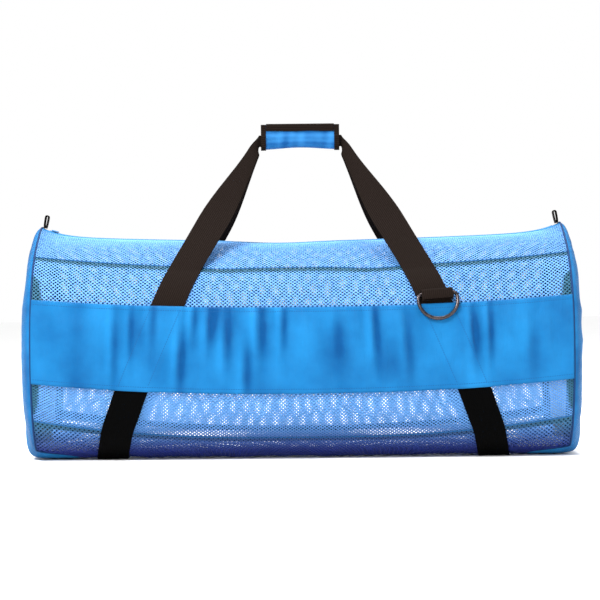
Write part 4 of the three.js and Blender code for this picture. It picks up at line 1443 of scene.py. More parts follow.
@dataclass
class EndPanels:
    """The domed nylon ends with the piping of their seams."""

    form: BagForm
    finishes: Finishes
    bulge: float = 23.0
    wall: float = 1.2
    seam_gap: float = 0.6
    squareness: tuple[float, float] = (5.0, 8.0)
    roundness: tuple[float, float] = (2.0, 10.0)
    puckers: int = 46
    slack: float = 1.5
    cloud_reach: tuple[float, float] = (170.0, 150.0)
    stations: int = 220
    rings: int = 26
    piping: float = 1.5

    def rim(self, lift: float, end: End) -> tuple[Array, Array]:
        """The end seam, once round from the zip over the front, the base and the back.

        Args:
            lift: distance out of the cloth.
            end: left or right.

        Returns:
            The seam's points, and how much of the fold under the bag each has.
        """
        _, side, run = self.form.once_round(self.stations)
        points = self.form.point(side, np.full_like(run, end.value), run, lift)
        return points, self.form.tucked(self.form.section(1.0, run)[1])

    def dome(self, end: End, inset: float) -> Array:
        """The dome: from its middle to the rim, each profile is a superellipse, squarer below.

        Args:
            end: left or right.
            inset: distance inside the outer face.

        Returns:
            Points, rings by stations.
        """
        rim, tucked = self.rim(-inset, end)
        middle = self.form.crest_height * self.form.widest_share
        ring = (1 - (1 - np.linspace(0.0, 1, self.rings)[1:, None]) ** 2.4) ** 0.9
        seam = np.abs(rim[:, 0]) + self.seam_gap
        square, rounded = mix(*self.squareness, tucked), mix(*self.roundness, tucked)
        height = self.form.half_length + self.bulge - inset - seam
        x = seam + height * (1 - np.minimum(ring**square, 1)) ** (1 / rounded)
        shape = np.stack([end.value * x, rim[:, 1] * ring, mix(middle, rim[:, 2], ring)], axis=-1)
        slack = waves(shape[..., 1], shape[..., 2], 31 + end.value, 9, 60, 190) * self.slack
        puckers = np.sin(np.arange(self.stations) / self.stations * 2 * np.pi * self.puckers) * 0.7 * ring**8
        shape[..., 0] -= end.value * (np.abs(slack) + puckers + 0.7) * (1 - ring**14) * (1 - tucked)
        return shape

    def tone(self, rings: int, stations: int) -> Array:
        """Light and shade of the dome: gathers that fade inwards, and a bright rim along the seam.

        Args:
            rings: number of rings.
            stations: points in each ring.

        Returns:
            Tones from -1 to 1, rings by stations.
        """
        ring = np.linspace(0, 1, rings)[:, None]
        turn = np.linspace(0, 2 * np.pi, stations, endpoint=False)[None, :]
        wide, high = self.cloud_reach
        across, up = wide * ring * np.cos(turn), high * ring * np.sin(turn)
        cloudy = 0.25 * waves(across, up, 37, 8, 60, 190) + 0.3 * np.sin(self.puckers * turn) * ring**8
        return np.clip(cloudy + 0.55 * bell(ring - 0.97, 0.03) - 0.3 * bell(ring - 0.8, 0.16), -1, 1)

    def build(self) -> None:
        """Makes both ends and the piping over their seams."""
        for end in End:
            outer, inner = self.dome(end, 0.0), self.dome(end, self.wall)
            count, around = outer.shape[:2]
            quads = grid_faces(count, around, around=True)
            size = count * around
            rim_out = np.arange(around) + size - around
            rim_in = rim_out + size
            edge = np.stack([np.roll(rim_out, -1), rim_out, rim_in, np.roll(rim_in, -1)], axis=-1)
            first, pole = np.arange(around), np.full(around, 2 * size)
            fan = np.stack([np.roll(first, -1), first, pole], axis=-1)
            under_fan = np.stack([first + size, np.roll(first, -1) + size, pole + 1], axis=-1)
            poles = [outer[0].mean(0), inner[0].mean(0)]
            points = np.concatenate([outer.reshape(-1, 3), inner.reshape(-1, 3), poles])
            places = points[:, 1:] * METRES
            tones = np.zeros((len(points), 2))
            tones[: 2 * size, 0] = np.tile(self.tone(count, around).ravel(), 2)
            faces = [quads, quads[:, ::-1] + size, edge[:, ::-1], fan, under_fan]
            panel = Surface(points, faces, places, tones).outward()
            name = f"end_panel_{end.word}"
            piece = make_piece(f"{name}_dome", panel, self.finishes.nylon, (name,))
            groups = [len(face) for face in faces]
            line_faces(piece, self.finishes.coating, groups, [True, False, True, True, False])
            make_piece(f"end_piping_{end.word}", self.seam_cord(end), self.finishes.piping)

    def seam_cord(self, end: End) -> Surface:
        """The piping: a thin round cord on the end seam, whose near-black navy also paints the shade of the
        seam's valley.

        Args:
            end: left or right.

        Returns:
            The closed cord.
        """
        path, tucked = self.rim(0.2, end)
        heading = unit(np.roll(path, -1, axis=0) - np.roll(path, 1, axis=0))
        out = unit(path * [0, 1, 1] - [0, 0, self.form.crest_height * self.form.widest_share])
        side = unit(np.cross(heading, out))
        out = np.cross(side, heading)
        angle = 2 * np.pi * np.arange(8) / 8
        radius = self.piping * (1 - 0.75 * tucked)[:, None, None]
        ring = np.cos(angle)[None, :, None] * side[:, None] + np.sin(angle)[None, :, None] * out[:, None]
        shift = np.array([end.value * 0.8, 0, 0]) - out * (self.piping * 0.75 * tucked)[:, None]
        run = np.linspace(0, 1, len(path))[:, None] * np.ones(8)
        places = np.stack([run, run * 0], axis=-1)
        return sweep(path[:, None] + shift[:, None] + ring * radius, places, closed=True)


@dataclass
class BoundSeams:
    """Binding tapes inside the mesh and the sewn ridges outside it."""

    form: BagForm
    finishes: Finishes
    mesh_wall: float = 0.75
    layer_gap: float = 0.25
    tape_wall: float = 1.1
    width: float = 11.0
    seam_gap: float = 0.15
    ridge_size: tuple[float, float] = (1.6, 0.9)
    stations: int = 240

    def tape(self, side: Side, line: Line) -> Surface:
        """A tape inside the mesh below a long seam, stopping at the end tapes.

        Args:
            side: front or back.
            line: the seam.

        Returns:
            The closed tape.
        """
        limit = 1 - self.width / self.form.half_length - 0.002
        along, share = np.meshgrid(np.linspace(-limit, limit, 241), np.linspace(0, 1, 4), indexing="ij")
        run = self.form.line_run(line, along) + self.seam_gap + share * self.width
        lift = -self.mesh_wall - self.layer_gap
        wobble = 0.5 * waves(along * self.form.half_length, run, 5, 6, 30, 80) * share * 0.4
        outer = self.form.point(side.value, along, run, lift - np.abs(wobble))
        inner = self.form.point(side.value, along, run, lift - np.abs(wobble) - self.tape_wall)
        places = on_cloth(along * self.form.half_length, run)
        return shell(outer, inner, places)

    def end_tape(self, end: End) -> Surface:
        """A tape inside the mesh beside an end seam, once round.

        Args:
            end: left or right.

        Returns:
            The closed tape.
        """
        around, side, run = self.form.once_round(self.stations)
        lift = -self.mesh_wall - self.layer_gap
        rings = []
        for share, level in ((0, 0), (0.5, 0), (1, 0), (1, 1), (0.5, 1), (0, 1)):
            along = end.value * (1 - share * self.width / self.form.half_length)
            rings.append(self.form.point(side, np.full_like(run, along), run, lift - level * self.tape_wall))
        grid = np.stack(rings, axis=1)
        places = on_cloth(around[:, None], np.zeros(6))
        return sweep(grid, places, closed=True)

    def ridge(self, side: Side, line: Line, width: float, height: float) -> Surface:
        """The sewn edge that stands out of the mesh along a long seam.

        Args:
            side: front or back.
            line: the seam.
            width: the edge's width.
            height: its height.

        Returns:
            The closed edge.
        """
        along = np.linspace(-0.998, 0.998, 401)
        run = self.form.line_run(line, along)
        across, up = flat_section(8, 2.4)
        grid = self.form.point(
            side.value, along[:, None], run[:, None] + across * width / 2, height * (0.5 + up * 0.5) - 0.1
        )
        return sweep(grid, on_cloth(along[:, None] * self.form.half_length, across * width))

    def build(self) -> None:
        """Makes the tapes and ridges."""
        for side in Side:
            for line, word in ((Line.TOP_SEAM, "top"), (Line.BOTTOM_SEAM, "bottom")):
                name = f"binding_{word}_{side.word}"
                make_piece(f"{name}_tape", self.tape(side, line), self.finishes.binding, (name,))
                ridge = self.ridge(side, line, *self.ridge_size)
                make_piece(f"seam_{word}_{side.word}", ridge, self.finishes.blue_thread)
        for end in End:
            name = f"binding_end_{end.word}"
            make_piece(f"{name}_tape", self.end_tape(end), self.finishes.binding, (name,))


# Zip


@dataclass
class ZipClosure:
    """The zip: two woven tapes, a spiral coil and a slider."""

    form: BagForm
    finishes: Finishes
    tape_wall: float = 1.1
    reach: float = 15.85
    chain_width: float = 6.0
    tape_rise: float = 0.25
    coil_pitch: float = 1.9
    coil_height: float = 1.5
    coil_stop: float = 11.0
    slider_seat: float = 1.3
    slider_place: float = 19.0
    slider: tuple[float, float, float] = (12.0, 9.0, 2.4)

    def tape(self, side: Side) -> Surface:
        """One woven tape from the coil to the mesh.

        Args:
            side: front or back.

        Returns:
            The closed tape.
        """
        along, share = np.meshgrid(np.linspace(-1, 1, 301), np.linspace(0, 1, 7), indexing="ij")
        run = mix(self.chain_width / 2 - 0.4, self.reach, share)
        ripple = waves(along * self.form.half_length, run, 3, 5, 40, 140)
        sag = 0.5 * np.sin(np.pi * share) ** 2 * (1 + 0.5 * ripple)
        outer = self.form.point(side.value, along, run, self.tape_rise - sag)
        inner = self.form.point(side.value, along, run, self.tape_rise - sag - self.tape_wall)
        return shell(outer, inner, on_cloth(along * self.form.half_length, run))

    def coil(self) -> Surface:
        """The coil: a low rounded strip whose top is ribbed crosswise, split by the middle line.

        Returns:
            The closed strip.
        """
        limit = 1 - self.coil_stop / self.form.half_length
        count = int(self.form.body_length * limit / self.coil_pitch) * 4
        along = np.linspace(-limit, limit, count + 1)[:, None]
        across = np.linspace(-1, 1, 9)[None, :]
        ribs = 0.5 + 0.5 * np.cos(2 * np.pi * np.arange(count + 1)[:, None] / 4 + np.pi * (across > 0))
        rounded = self.coil_height * np.sqrt(np.maximum(1 - across**6, 0))
        top = rounded * (0.62 + 0.38 * ribs) - 0.7 * bell(across, 0.16)
        side = np.where(across < 0, -1.0, 1.0) * np.ones_like(along)
        run = np.abs(across) * (self.chain_width / 2 - 0.5) * np.ones_like(along)
        outer = self.form.point(side, along * np.ones_like(across), run, top)
        inner = self.form.point(side, along * np.ones_like(across), run, -1.0 * np.ones_like(top))
        places = on_cloth(along * self.form.half_length, across * self.chain_width / 2)
        return shell(outer, inner, places)

    def slider_body(self) -> Surface:
        """The slider: a rounded body over the coil.

        Returns:
            The closed body.
        """
        length, width, height = self.slider
        along = -(1 - self.slider_place / self.form.half_length)
        seat = self.form.point(-1.0, np.array(along), np.array(0.0), self.slider_seat)
        ahead = self.form.point(-1.0, np.array(along + 0.02), np.array(0.0), self.slider_seat)
        heading = unit(ahead - seat)
        up = np.array([-heading[2], 0, heading[0]])
        level = np.linspace(-1, 1, 13)[:, None]
        angle = np.linspace(0, 2 * np.pi, 28, endpoint=False)[None, :]
        round_off = np.maximum(1 - np.abs(level) ** 4, 0) ** 0.25
        taper = 1 - 0.16 * (1 - np.cos(angle)) / 2
        a = length / 2 * np.sign(np.cos(angle)) * np.abs(np.cos(angle)) ** 0.7 * round_off
        b = width / 2 * np.sign(np.sin(angle)) * np.abs(np.sin(angle)) ** 0.7 * round_off * taper
        c = height / 2 * (level + 1) * np.ones_like(angle)
        grid = seat + a[..., None] * heading + b[..., None] * np.array([0, 1.0, 0]) + c[..., None] * up
        places = on_cloth(a, c)
        return sweep(grid, places)

    def build(self) -> None:
        """Makes the tapes, the coil and the slider."""
        for side in Side:
            name = f"zip_tape_{side.word}"
            make_piece(f"{name}_cloth", self.tape(side), self.finishes.zip_tape, (name,))
        make_piece("zip_chain_coil", self.coil(), self.finishes.coil, ("zip_chain",))
        make_piece("zip_slider_body", self.slider_body(), self.finishes.coil, ("zip_slider",))


# Webbing


@dataclass
class HandleStraps:
    """The two handle straps: up a side, folding double into the wrap, and down again."""

    form: BagForm
    finishes: Finishes
    web_wall: float = 1.8
    layer_gap: float = 0.4
    binding_width: float = 11.15
    handle_top: float = 522.0
    wrap_length: float = 124.0
    wrap_height: float = 41.0
    wrap_wall: float = 1.6
    grip_height: float = 18.0
    grip_clearance: float = 3.0
    grip_margin: float = 3.0
    grip_wall: float = 3.8
    unfold_length: float = 170.0
    slack_low: float = 80.0
    slack_high: float = 45.0
    upturn: float = 0.2
    square_share: float = 0.35
    around: int = 28
    bag_rings: int = 110
    leg_rings: int = 64

    @property
    def grip_level(self) -> float:
        """Height of the webbing's middle inside the wrap."""
        wrap_floor = self.handle_top - self.wrap_height + self.wrap_wall
        return wrap_floor + self.grip_clearance + self.grip_height / 2

    def on_bag(self, side: Side, end: End, run: Array) -> Array:
        """Rings of the strap where it lies on the bag.

        Args:
            side: front or back.
            end: left or right.
            run: running lengths from the zip.

        Returns:
            The rings.
        """
        across, up = flat_section(self.around, 7)
        x = end.value * (self.form.strap_x(run)[:, None] - across * self.form.strap_cut(run)[:, None])
        lift = self.layer_gap + self.web_wall / 2 * (1 + up)
        along = self.form.place_at(x, run[:, None])
        return self.form.point(side.value, along, run[:, None], lift)

    def leg(self, side: Side, end: End, start: Array, climb: Array, out: Array, edge: Array) -> Array:
        """Rings of the free leg: a cubic curve on which the webbing turns upright and curls double.

        Args:
            side: front or back.
            end: left or right.
            start: the strap's middle where it leaves the bag.
            climb: its direction there.
            out: its way out of the bag there.
            edge: from its middle to its edge there, along the level cut.

        Returns:
            The rings.
        """
        offset = (self.grip_wall + self.layer_gap) / 2
        beside = self.wrap_length / 2 + self.grip_margin
        grip = np.array([end.value * beside, side.value * offset, self.grip_level])
        to_grip = unit(grip - start)
        leaving = unit(mix(climb, to_grip, 0.75))
        arriving = unit(to_grip + [0, 0, self.upturn])
        corners = [start, start + leaving * self.slack_low, grip - arriving * self.slack_high, grip]
        t = np.linspace(0, 1, 400)[:, None]
        curve = sum(
            weight * corner
            for weight, corner in zip(((1 - t) ** 3, 3 * t * (1 - t) ** 2, 3 * t**2 * (1 - t), t**3), corners)
        )
        length = np.linalg.norm(np.diff(curve, axis=0), axis=1).sum()
        middle = resampled(curve, self.leg_rings + 1)
        path = unit(np.gradient(middle, axis=0))
        share = np.linspace(0, 1, self.leg_rings + 1)[:, None]
        level = smooth((share - 0.9) / 0.1)
        path = unit(mix(path, np.array([-end.value, 0, 0.0]), level))
        normal = mix(out, np.array([0, side.value, 0.0]), smooth(share))
        normal = unit(normal - (normal * path).sum(1, keepdims=True) * path)
        folded = smooth(1 - (1 - share) * length / self.unfold_length)
        square = np.cross(path, normal)
        square = square * np.where(square @ edge < 0, -1.0, 1.0)[:, None]
        square = square * mix(self.form.web_width, self.grip_height, folded) / 2
        width = mix(edge, square, smooth(share / self.square_share))
        across, up = flat_section(self.around, 7)
        curl = 1.25 * np.pi * folded
        bend = across * curl / 2
        small = np.where(curl < 1e-3, 1.0, curl / 2)
        widest = np.maximum(np.sin(np.minimum(small, np.pi / 2)), 1e-6)
        reach = np.where(curl < 1e-3, across, np.sin(bend) / widest)
        depth = (1 - np.cos(bend)) * folded * 1.15
        thick = mix(self.web_wall, self.grip_wall / 2, folded) / 2
        rings = middle[:, None] + width[:, None] * reach[..., None]
        return rings + normal[:, None] * (up * thick - depth + 0.9 * folded)[..., None]

    def strap(self, side: Side) -> Surface:
        """One strap as a closed body, with its length and width as cloth places.

        Args:
            side: front or back.

        Returns:
            The closed strap.
        """
        top = self.form.route_run(Line.TOP_SEAM) + self.binding_width
        bottom = self.form.route_run(Line.FLOOR)
        run = np.linspace(bottom, top, self.bag_rings)
        halves = []
        for end in End:
            rings = self.on_bag(side, end, run)
            middle = rings.mean(1)
            half = self.around // 2
            start = middle[-1]
            climb = unit(middle[-1] - middle[-6])
            edge = (rings[-1, 0] + rings[-1, -1] - rings[-1, half - 1] - rings[-1, half]) / 4
            upper = rings[-1, :half].mean(0) - rings[-1, half:].mean(0)
            leg = self.leg(side, end, start, climb, unit(upper), edge)
            halves.append(np.concatenate([rings, leg[1:]]))
        rings = np.concatenate([halves[0], halves[1][::-1]])
        middle = rings.mean(1)
        length = np.concatenate([[0.0], np.cumsum(np.linalg.norm(np.diff(middle, axis=0), axis=1))])
        across, _ = flat_section(self.around, 7)
        return sweep(rings, on_cloth(length[:, None], across * self.form.web_width / 2))

    def under_strap(self, end: End) -> Surface:
        """The webbing under the base between the front and the back strap.

        Args:
            end: left or right.

        Returns:
            The closed strap.
        """
        floor_share = dict(self.form.ROUTE)[Line.FLOOR]
        reach = float(self.form.section(floor_share, self.form.route_run(Line.FLOOR))[0]) - 1.0
        across, up = flat_section(self.around, 7)
        y = np.linspace(-reach, reach, 61)[:, None]
        x = end.value * floor_share * self.form.half_length + across * self.form.web_width / 2
        z = self.web_wall / 2 * (1 + up)
        grid = np.stack(np.broadcast_arrays(x, y, z), axis=-1)
        places = on_cloth(y, across * self.form.web_width / 2)
        return sweep(grid, places)

    def build(self) -> None:
        """Makes both straps and the webbing under the base."""
        for side in Side:
            name = f"strap_{side.word}"
            make_piece(f"{name}_webbing", self.strap(side), self.finishes.webbing, (name,))
        for end in End:
            name = f"strap_under_{end.word}"
            make_piece(f"{name}_webbing", self.under_strap(end), self.finishes.webbing, (name,))


@dataclass
class HandleWrap:
    """The nylon wrap that holds both straps, with black tape round its fin and ends."""

    finishes: Finishes
    top: float = 522.0
    length: float = 124.0
    height: float = 41.0
    body_height: float = 25.0
    thick: float = 15.0
    fin: float = 4.6
    wall: float = 1.6
    edging: float = 8.0
    edging_wall: float = 1.1
    edging_fin: float = 12.0
    arch: float = 3.0
    arch_start: float = 12.0
    fold_drop: float = 27.0
    shade_drops: tuple[float, float] = (33.0, 14.0)
    fin_round: float = 2.4

    def outline(self, grow: float, count: int = 61) -> Array:
        """The wrap's section from the front of the fin, round the body, to the back of the fin.

        Half the thickness at a height is the fin's, widening softly to the body's, and the
        bottom is half a circle.

        Args:
            grow: distance outside the plain outline.
            count: points of the section.

        Returns:
            Points (y, z).
        """
        bottom = self.top - self.height
        radius = self.thick / 2
        z = np.linspace(self.top - self.edging_wall - 0.4, bottom + radius, 40)
        widen = smooth((bottom + self.body_height + 4 - z) / 10)
        front = np.stack([-(mix(self.fin, self.thick, widen) / 2 + grow), z], axis=-1)
        angle = np.linspace(0, np.pi, 30)[1:-1]
        grown = radius + grow
        turn = np.stack([-grown * np.cos(angle), bottom + radius - grown * np.sin(angle)], axis=-1)
        return resampled(np.concatenate([front, turn, front[::-1] * [-1, 1]]), count)

    def sleeve(self, start: float, stop: float, grow: float, wall: float, count: int, soft: float) -> Surface:
        """A sleeve on the wrap's outline from one place along it to another.

        Its bottom edge is arched up in the middle, and soft gives it creases.

        Args:
            start: first end along X.
            stop: last end along X.
            grow: distance of its outer face outside the plain outline.
            wall: its thickness.
            count: stations along.
            soft: depth of the creases.

        Returns:
            The closed sleeve.
        """
        faces, tone = [], None
        for level in (grow, grow - wall):
            outline = self.outline(level)
            x = np.linspace(start, stop, count)[:, None]
            y, z = (np.broadcast_to(outline[:, k], (count, len(outline))) for k in (0, 1))
            low = smooth((self.top - self.arch_start - z) / (self.height - self.arch_start))
            lifted = z + self.arch * np.cos(np.clip(x / self.length * np.pi, -1.6, 1.6)) ** 2 * low
            crease = soft * waves(x * 1.4, z * 0.6, 77, 8, 14, 46) * np.sign(y + 1e-9)
            pull = bell(z - (self.top - self.fold_drop), 3.0) * soft * 1.3 * np.sign(y)
            faces.append(np.stack([np.broadcast_to(x, y.shape), y + crease * 0.8 - pull, lifted], axis=-1))
            if tone is None:
                # painted light and shade: cloudy crease tone, and two dark bands at the shade drops below the
                # top
                lower, upper = (self.top - drop for drop in self.shade_drops)
                tone = 0.35 * waves(x * 1.4, z * 0.6, 78, 8, 14, 46) - 0.75 * bell(z - lower, 3.4)
                tone = np.clip(tone - 0.5 * bell(z - upper, 2.2), -1, 1)
        run = np.linspace(0, 90, faces[0].shape[1])
        places = on_cloth(np.linspace(start, stop, count)[:, None], run)
        return shell(faces[0], faces[1], places, tone)

    def fin_tape(self) -> Surface:
        """The tape folded over the fin: straight down both sides and rounded over the top.

        Returns:
            The closed tape.
        """
        half, reach = self.fin / 2 + 0.4, self.length / 2 - self.edging - 0.3
        low = self.top - self.edging_fin
        layers = []
        for grow in (self.edging_wall, 0.0):
            angle = np.linspace(np.pi, 0, 13)
            level = self.top - self.fin_round - self.edging_wall + (self.fin_round + grow) * np.sin(angle)
            arc = np.stack([(half + grow) * np.cos(angle), level], axis=-1)
            sides = [[-(half + grow), low]], [[half + grow, low]]
            profile = resampled(np.concatenate([sides[0], arc, sides[1]]), 31)
            x = np.linspace(-reach, reach, 41)[:, None]
            y, z = (np.broadcast_to(profile[:, k], (41, 31)) for k in (0, 1))
            wander = 0.35 * np.sin(x / 9.0)
            edged = np.where(z < low + 1, z + wander, z)
            layers.append(np.stack([np.broadcast_to(x, y.shape), y, edged], axis=-1))
        run = np.linspace(0, 30, 31)
        places = on_cloth(np.linspace(-reach, reach, 41)[:, None], run)
        return shell(layers[0], layers[1], places)

    def build(self) -> None:
        """Makes the wrap and its edging."""
        half = self.length / 2
        sleeve = self.sleeve(-half, half, 0.0, self.wall, 81, 0.8)
        make_piece("handle_wrap_cloth", sleeve, self.finishes.wrap_nylon, ("handle_wrap",))
        for end in End:
            name = f"wrap_edging_{end.word}"
            start, stop = sorted((end.value * (half - self.edging), end.value * half))
            tape = self.sleeve(start, stop, 0.4 + self.edging_wall, self.edging_wall, 9, 0.1)
            make_piece(f"{name}_tape", tape, self.finishes.webbing, (name,))
        name = "wrap_edging_top"
        make_piece(f"{name}_tape", self.fin_tape(), self.finishes.webbing, (name,))


@dataclass
class EndTabs:
    """A hairpin of tape standing at each end of the zip."""

    form: BagForm
    finishes: Finishes
    height: float = 21.0
    width: float = 18.0
    thick: float = 6.6
    wall: float = 2.0
    inset: float = 3.5
    seat: float = 1.2
    lean: float = 0.4

    def tab(self, end: End) -> Surface:
        """One tab: a leaf-shaped loop swept along its path with a rounded flat section.

        Args:
            end: left or right.

        Returns:
            The closed tab.
        """
        radius = (self.thick - self.wall) / 2
        turn = self.height - self.thick / 2
        angle = np.linspace(np.pi, 0, 15)
        arc = np.stack([radius * np.cos(angle), turn + radius * np.sin(angle)], axis=-1)
        left = np.array([[-radius * 0.6, 0], [-radius * 0.9, turn * 0.35], [-radius, turn * 0.7]])
        path = resampled(np.concatenate([left, arc, left[::-1] * [-1, 1]]), 41)
        heading = unit(np.gradient(path, axis=0))
        out = np.stack([-heading[:, 1], heading[:, 0]], axis=-1)
        across, up = flat_section(16, 5)
        flat = path[:, None] + out[:, None] * (up * self.wall / 2)[None, :, None]
        y = np.broadcast_to(across * self.width / 2, flat.shape[:2])
        along = end.value * (1 - self.inset / self.form.half_length)
        near = [np.array(along + step) for step in (-0.008, 0.0, 0.008)]
        ends = [self.form.point(-1.0, place, np.array(0.0), self.seat) for place in near]
        slope = math.atan2(ends[2][2] - ends[0][2], ends[2][0] - ends[0][0]) * self.lean
        x = flat[..., 0] * math.cos(slope) - flat[..., 1] * math.sin(slope)
        z = flat[..., 0] * math.sin(slope) + flat[..., 1] * math.cos(slope)
        grid = np.stack([x, y, z], axis=-1) + ends[1]
        length = np.linspace(0, 2 * self.height, len(path))[:, None]
        return sweep(grid, on_cloth(length, across * self.width / 2))

    def build(self) -> None:
        """Makes both tabs."""
        for end in End:
            name = f"end_tab_{end.word}"
            make_piece(f"{name}_tape", self.tab(end), self.finishes.webbing, (name,))


@dataclass
class ShoulderRing:
    """The D-ring at the front right and the webbing loop that holds its bar."""

    form: BagForm
    finishes: Finishes
    joint: dict
    ring_box: tuple[Vector, Vector]
    inner_width: float = 54.0
    wire: float = 5.4
    height: float = 43.0
    corner: float = 7.0
    loop_width: float = 48.0
    web_wall: float = 1.8
    layer_gap: float = 0.4
    bar_above_band: float = 14.5
    end_gap: float = 4.6
    slack: float = 3.0

    @cached_property
    def axes(self) -> tuple[Array, Array, Array, Array]:
        """The bar's middle, its direction, the way down the bag and the way out of it.

        Returns:
            The bar's middle and three unit vectors.
        """
        bar = np.array(self.joint["pos_m"]) / METRES
        direction = -unit(np.array(self.joint["axis"]))
        run = float(self.form.line_run(Line.BAND_TOP, bar[0] / self.form.half_length)) - self.bar_above_band
        out = self.form.normal(np.array(-1.0), np.array(bar[0] / self.form.half_length), np.array(run))
        hang = unit(np.cross(direction, out))
        return bar, direction, hang * (-1 if hang[2] > 0 else 1), out

    def ring(self) -> Surface:
        """The ring: a round wire bent to a bar, two corners and a bow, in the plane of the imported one.

        Returns:
            The closed ring.
        """
        bar, direction, hang, out = self.axes
        low, high = (np.array(corner) / METRES for corner in self.ring_box)
        toward = (low + high) / 2 - bar
        toward = toward - (toward @ direction) * direction
        down = unit(toward)
        face = unit(np.cross(down, direction))
        half = (self.inner_width + self.wire) / 2
        bow = self.height - self.wire / 2 - half
        corner, quarter = self.corner, np.linspace(0, np.pi / 2, 9)[:, None]
        across, below = half - corner + corner * np.sin(quarter), corner - corner * np.cos(quarter)
        lower = np.concatenate([across, below], axis=1)
        arc = np.linspace(0, np.pi, 41)[:, None]
        bowed = np.concatenate([half * np.cos(arc), bow + half * np.sin(arc)], axis=1)
        path = np.concatenate([[[0.0, 0.0]], lower, bowed, lower[::-1] * [-1, 1]])
        keep = np.linalg.norm(np.diff(path, axis=0, append=path[:1]), axis=1) > 0.05
        path = resampled(np.concatenate([path[keep], path[:1]]), 121)[:-1]
        middle = bar + path[:, :1] * direction + path[:, 1:] * down
        heading = unit(np.roll(middle, -1, axis=0) - np.roll(middle, 1, axis=0))
        side = unit(np.cross(heading, face))
        angle = 2 * np.pi * np.arange(20) / 20
        spoke = np.cos(angle)[None, :, None] * side[:, None] + np.sin(angle)[None, :, None] * face
        places = on_cloth(np.arange(120)[:, None] * 1.4, angle * self.wire / 2)
        return sweep(middle[:, None] + spoke * self.wire / 2, places, closed=True)

    def loop(self) -> Surface:
        """The loop: webbing folded over the bar, both ends at the band's top edge.

        Returns:
            The closed loop.
        """
        bar, direction, hang, out = self.axes
        radius = self.wire / 2 + self.layer_gap + self.web_wall / 2
        tail = self.bar_above_band - self.end_gap
        angle = np.linspace(-np.pi / 2, np.pi / 2, 21)
        arc = np.stack([-self.slack - radius * np.cos(angle), radius * np.sin(angle)], axis=-1)
        ends = np.array([[tail, -radius * 0.8], [tail * 0.4, -radius]])
        path = resampled(np.concatenate([ends, arc, ends[::-1] * [1, -1]]), 45)
        heading = unit(np.gradient(path, axis=0))
        normal = np.stack([-heading[:, 1], heading[:, 0]], axis=-1)
        across, up = flat_section(28, 7)
        flat = path[:, None] + normal[:, None] * (up * self.web_wall / 2)[None, :, None]
        shape = bar + flat[..., :1] * hang + flat[..., 1:] * out
        shape = shape + (across * self.loop_width / 2)[None, :, None] * direction
        length = np.linspace(0, 44, len(path))[:, None]
        return sweep(shape, on_cloth(length, across * self.loop_width / 2))

    def build(self) -> None:
        """Makes the ring and its loop."""
        make_piece("d_ring_wire", self.ring(), self.finishes.steel, ("d_ring",), body="ring")
        make_piece("ring_loop_webbing", self.loop(), self.finishes.webbing, ("ring_loop",))


# Studio


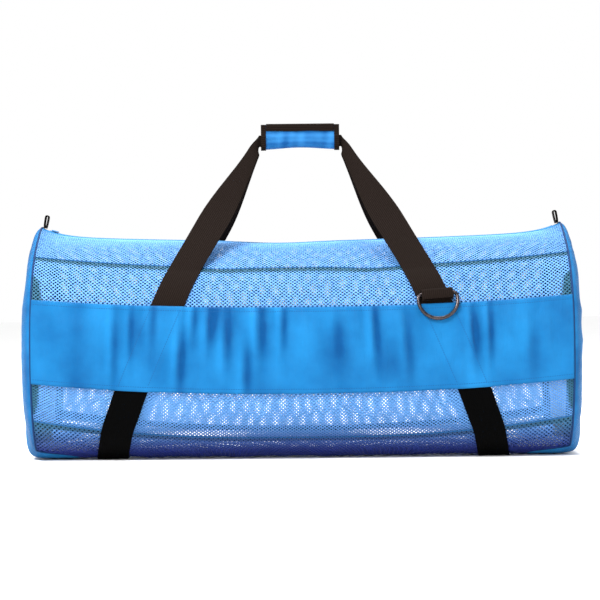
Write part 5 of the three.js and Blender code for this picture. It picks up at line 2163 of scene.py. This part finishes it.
@dataclass
class Studio:
    """Pale floor, soft lights and a level camera that faces the bag's front."""

    distance: float = 3.4
    height: float = 0.263
    scale_depth: float = 0.183
    millimetres_per_pixel: float = 1.5
    centre: tuple[float, float] = (301.6, 287.0)
    roll: float = 0.6
    picture: float = 600.0
    sensor: float = 36.0

    def build(self) -> None:
        """Makes the floor, the lights and the camera."""
        self.floor()
        self.lights()
        self.camera()

    def floor(self) -> None:
        """A pale floor with the finest cloudiness."""
        mesh = bpy.data.meshes.new("floor")
        reach = 14.0
        corners = [(-reach, -reach, 0), (reach, -reach, 0), (reach, reach, 0), (-reach, reach, 0)]
        mesh.from_pydata(corners, [], [(0, 1, 2, 3)])
        floor = bpy.data.objects.new("floor", mesh)
        bpy.context.scene.collection.objects.link(floor)
        nodes = Nodes("pale_floor")
        where = nodes.add("TexCoord").outputs["Object"]
        shade = nodes.shades(nodes.noise(where, 3, 2), (0.93, 0.93, 0.93), (0.96, 0.96, 0.96))
        nodes.link(shade, nodes.shader.inputs["Base Color"])
        nodes.set(Roughness=0.9)
        mesh.materials.append(nodes.material)

    def lights(self) -> None:
        """Soft white surroundings, a large key light from the upper front and two weak fills."""
        world = bpy.data.worlds.new("studio")
        bpy.context.scene.world = world
        world.use_nodes = True
        background = world.node_tree.nodes["Background"]
        background.inputs["Color"].default_value = (1, 1, 1, 1)
        background.inputs["Strength"].default_value = 1.0
        # name, place, aim, size and power
        table = (
            ("key", (-1.3, -1.9, 2.4), (0, 0, 0.2), 0.8, 165.0),
            ("fill", (2.0, -2.0, 1.2), (0, 0, 0.2), 1.2, 20.0),
            ("top", (0.3, 0.5, 2.8), (0, 0, 0.2), 1.4, 110.0),
        )
        bpy.context.scene.view_settings.view_transform = "Standard"
        for name, place, aim, size, power in table:
            data = bpy.data.lights.new(name, "AREA")
            data.size, data.energy = size, power
            lamp = bpy.data.objects.new(name, data)
            lamp.location = place
            lamp.rotation_euler = (Vector(aim) - Vector(place)).to_track_quat("-Z", "Y").to_euler()
            bpy.context.scene.collection.objects.link(lamp)

    def camera(self) -> None:
        """A level camera whose scale at the bag's front gives the photograph's framing."""
        focal_pixels = (self.distance - self.scale_depth) / METRES / self.millimetres_per_pixel
        data = bpy.data.cameras.new("camera")
        data.sensor_width = self.sensor
        data.lens = focal_pixels / self.picture * self.sensor
        middle = self.picture / 2
        # the lens axis meets the picture at centre
        data.shift_x = -(self.centre[0] - middle) / self.picture
        data.shift_y = (self.centre[1] - middle) / self.picture
        turn = math.radians(self.roll)
        camera = bpy.data.objects.new("camera", data)
        camera.location = (0, -self.distance, self.height)
        camera.rotation_euler = (math.pi / 2, turn, 0)
        camera.rotation_mode = "XYZ"
        bpy.context.scene.collection.objects.link(camera)
        bpy.context.scene.camera = camera


def main() -> None:
    """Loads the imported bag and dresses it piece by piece."""
    logging.basicConfig(level=logging.INFO, format="%(message)s")
    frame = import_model()
    finishes = Finishes.make()
    form = BagForm()
    MeshPanels(form, finishes).build()
    SideBands(form, finishes).build()
    EndPanels(form, finishes).build()
    BoundSeams(form, finishes).build()
    ZipClosure(form, finishes).build()
    HandleStraps(form, finishes).build()
    HandleWrap(finishes).build()
    EndTabs(form, finishes).build()
    ShoulderRing(form, finishes, frame["joints"][0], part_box("d_ring")).build()
    Studio().build()


if __name__ == "__main__":
    main()
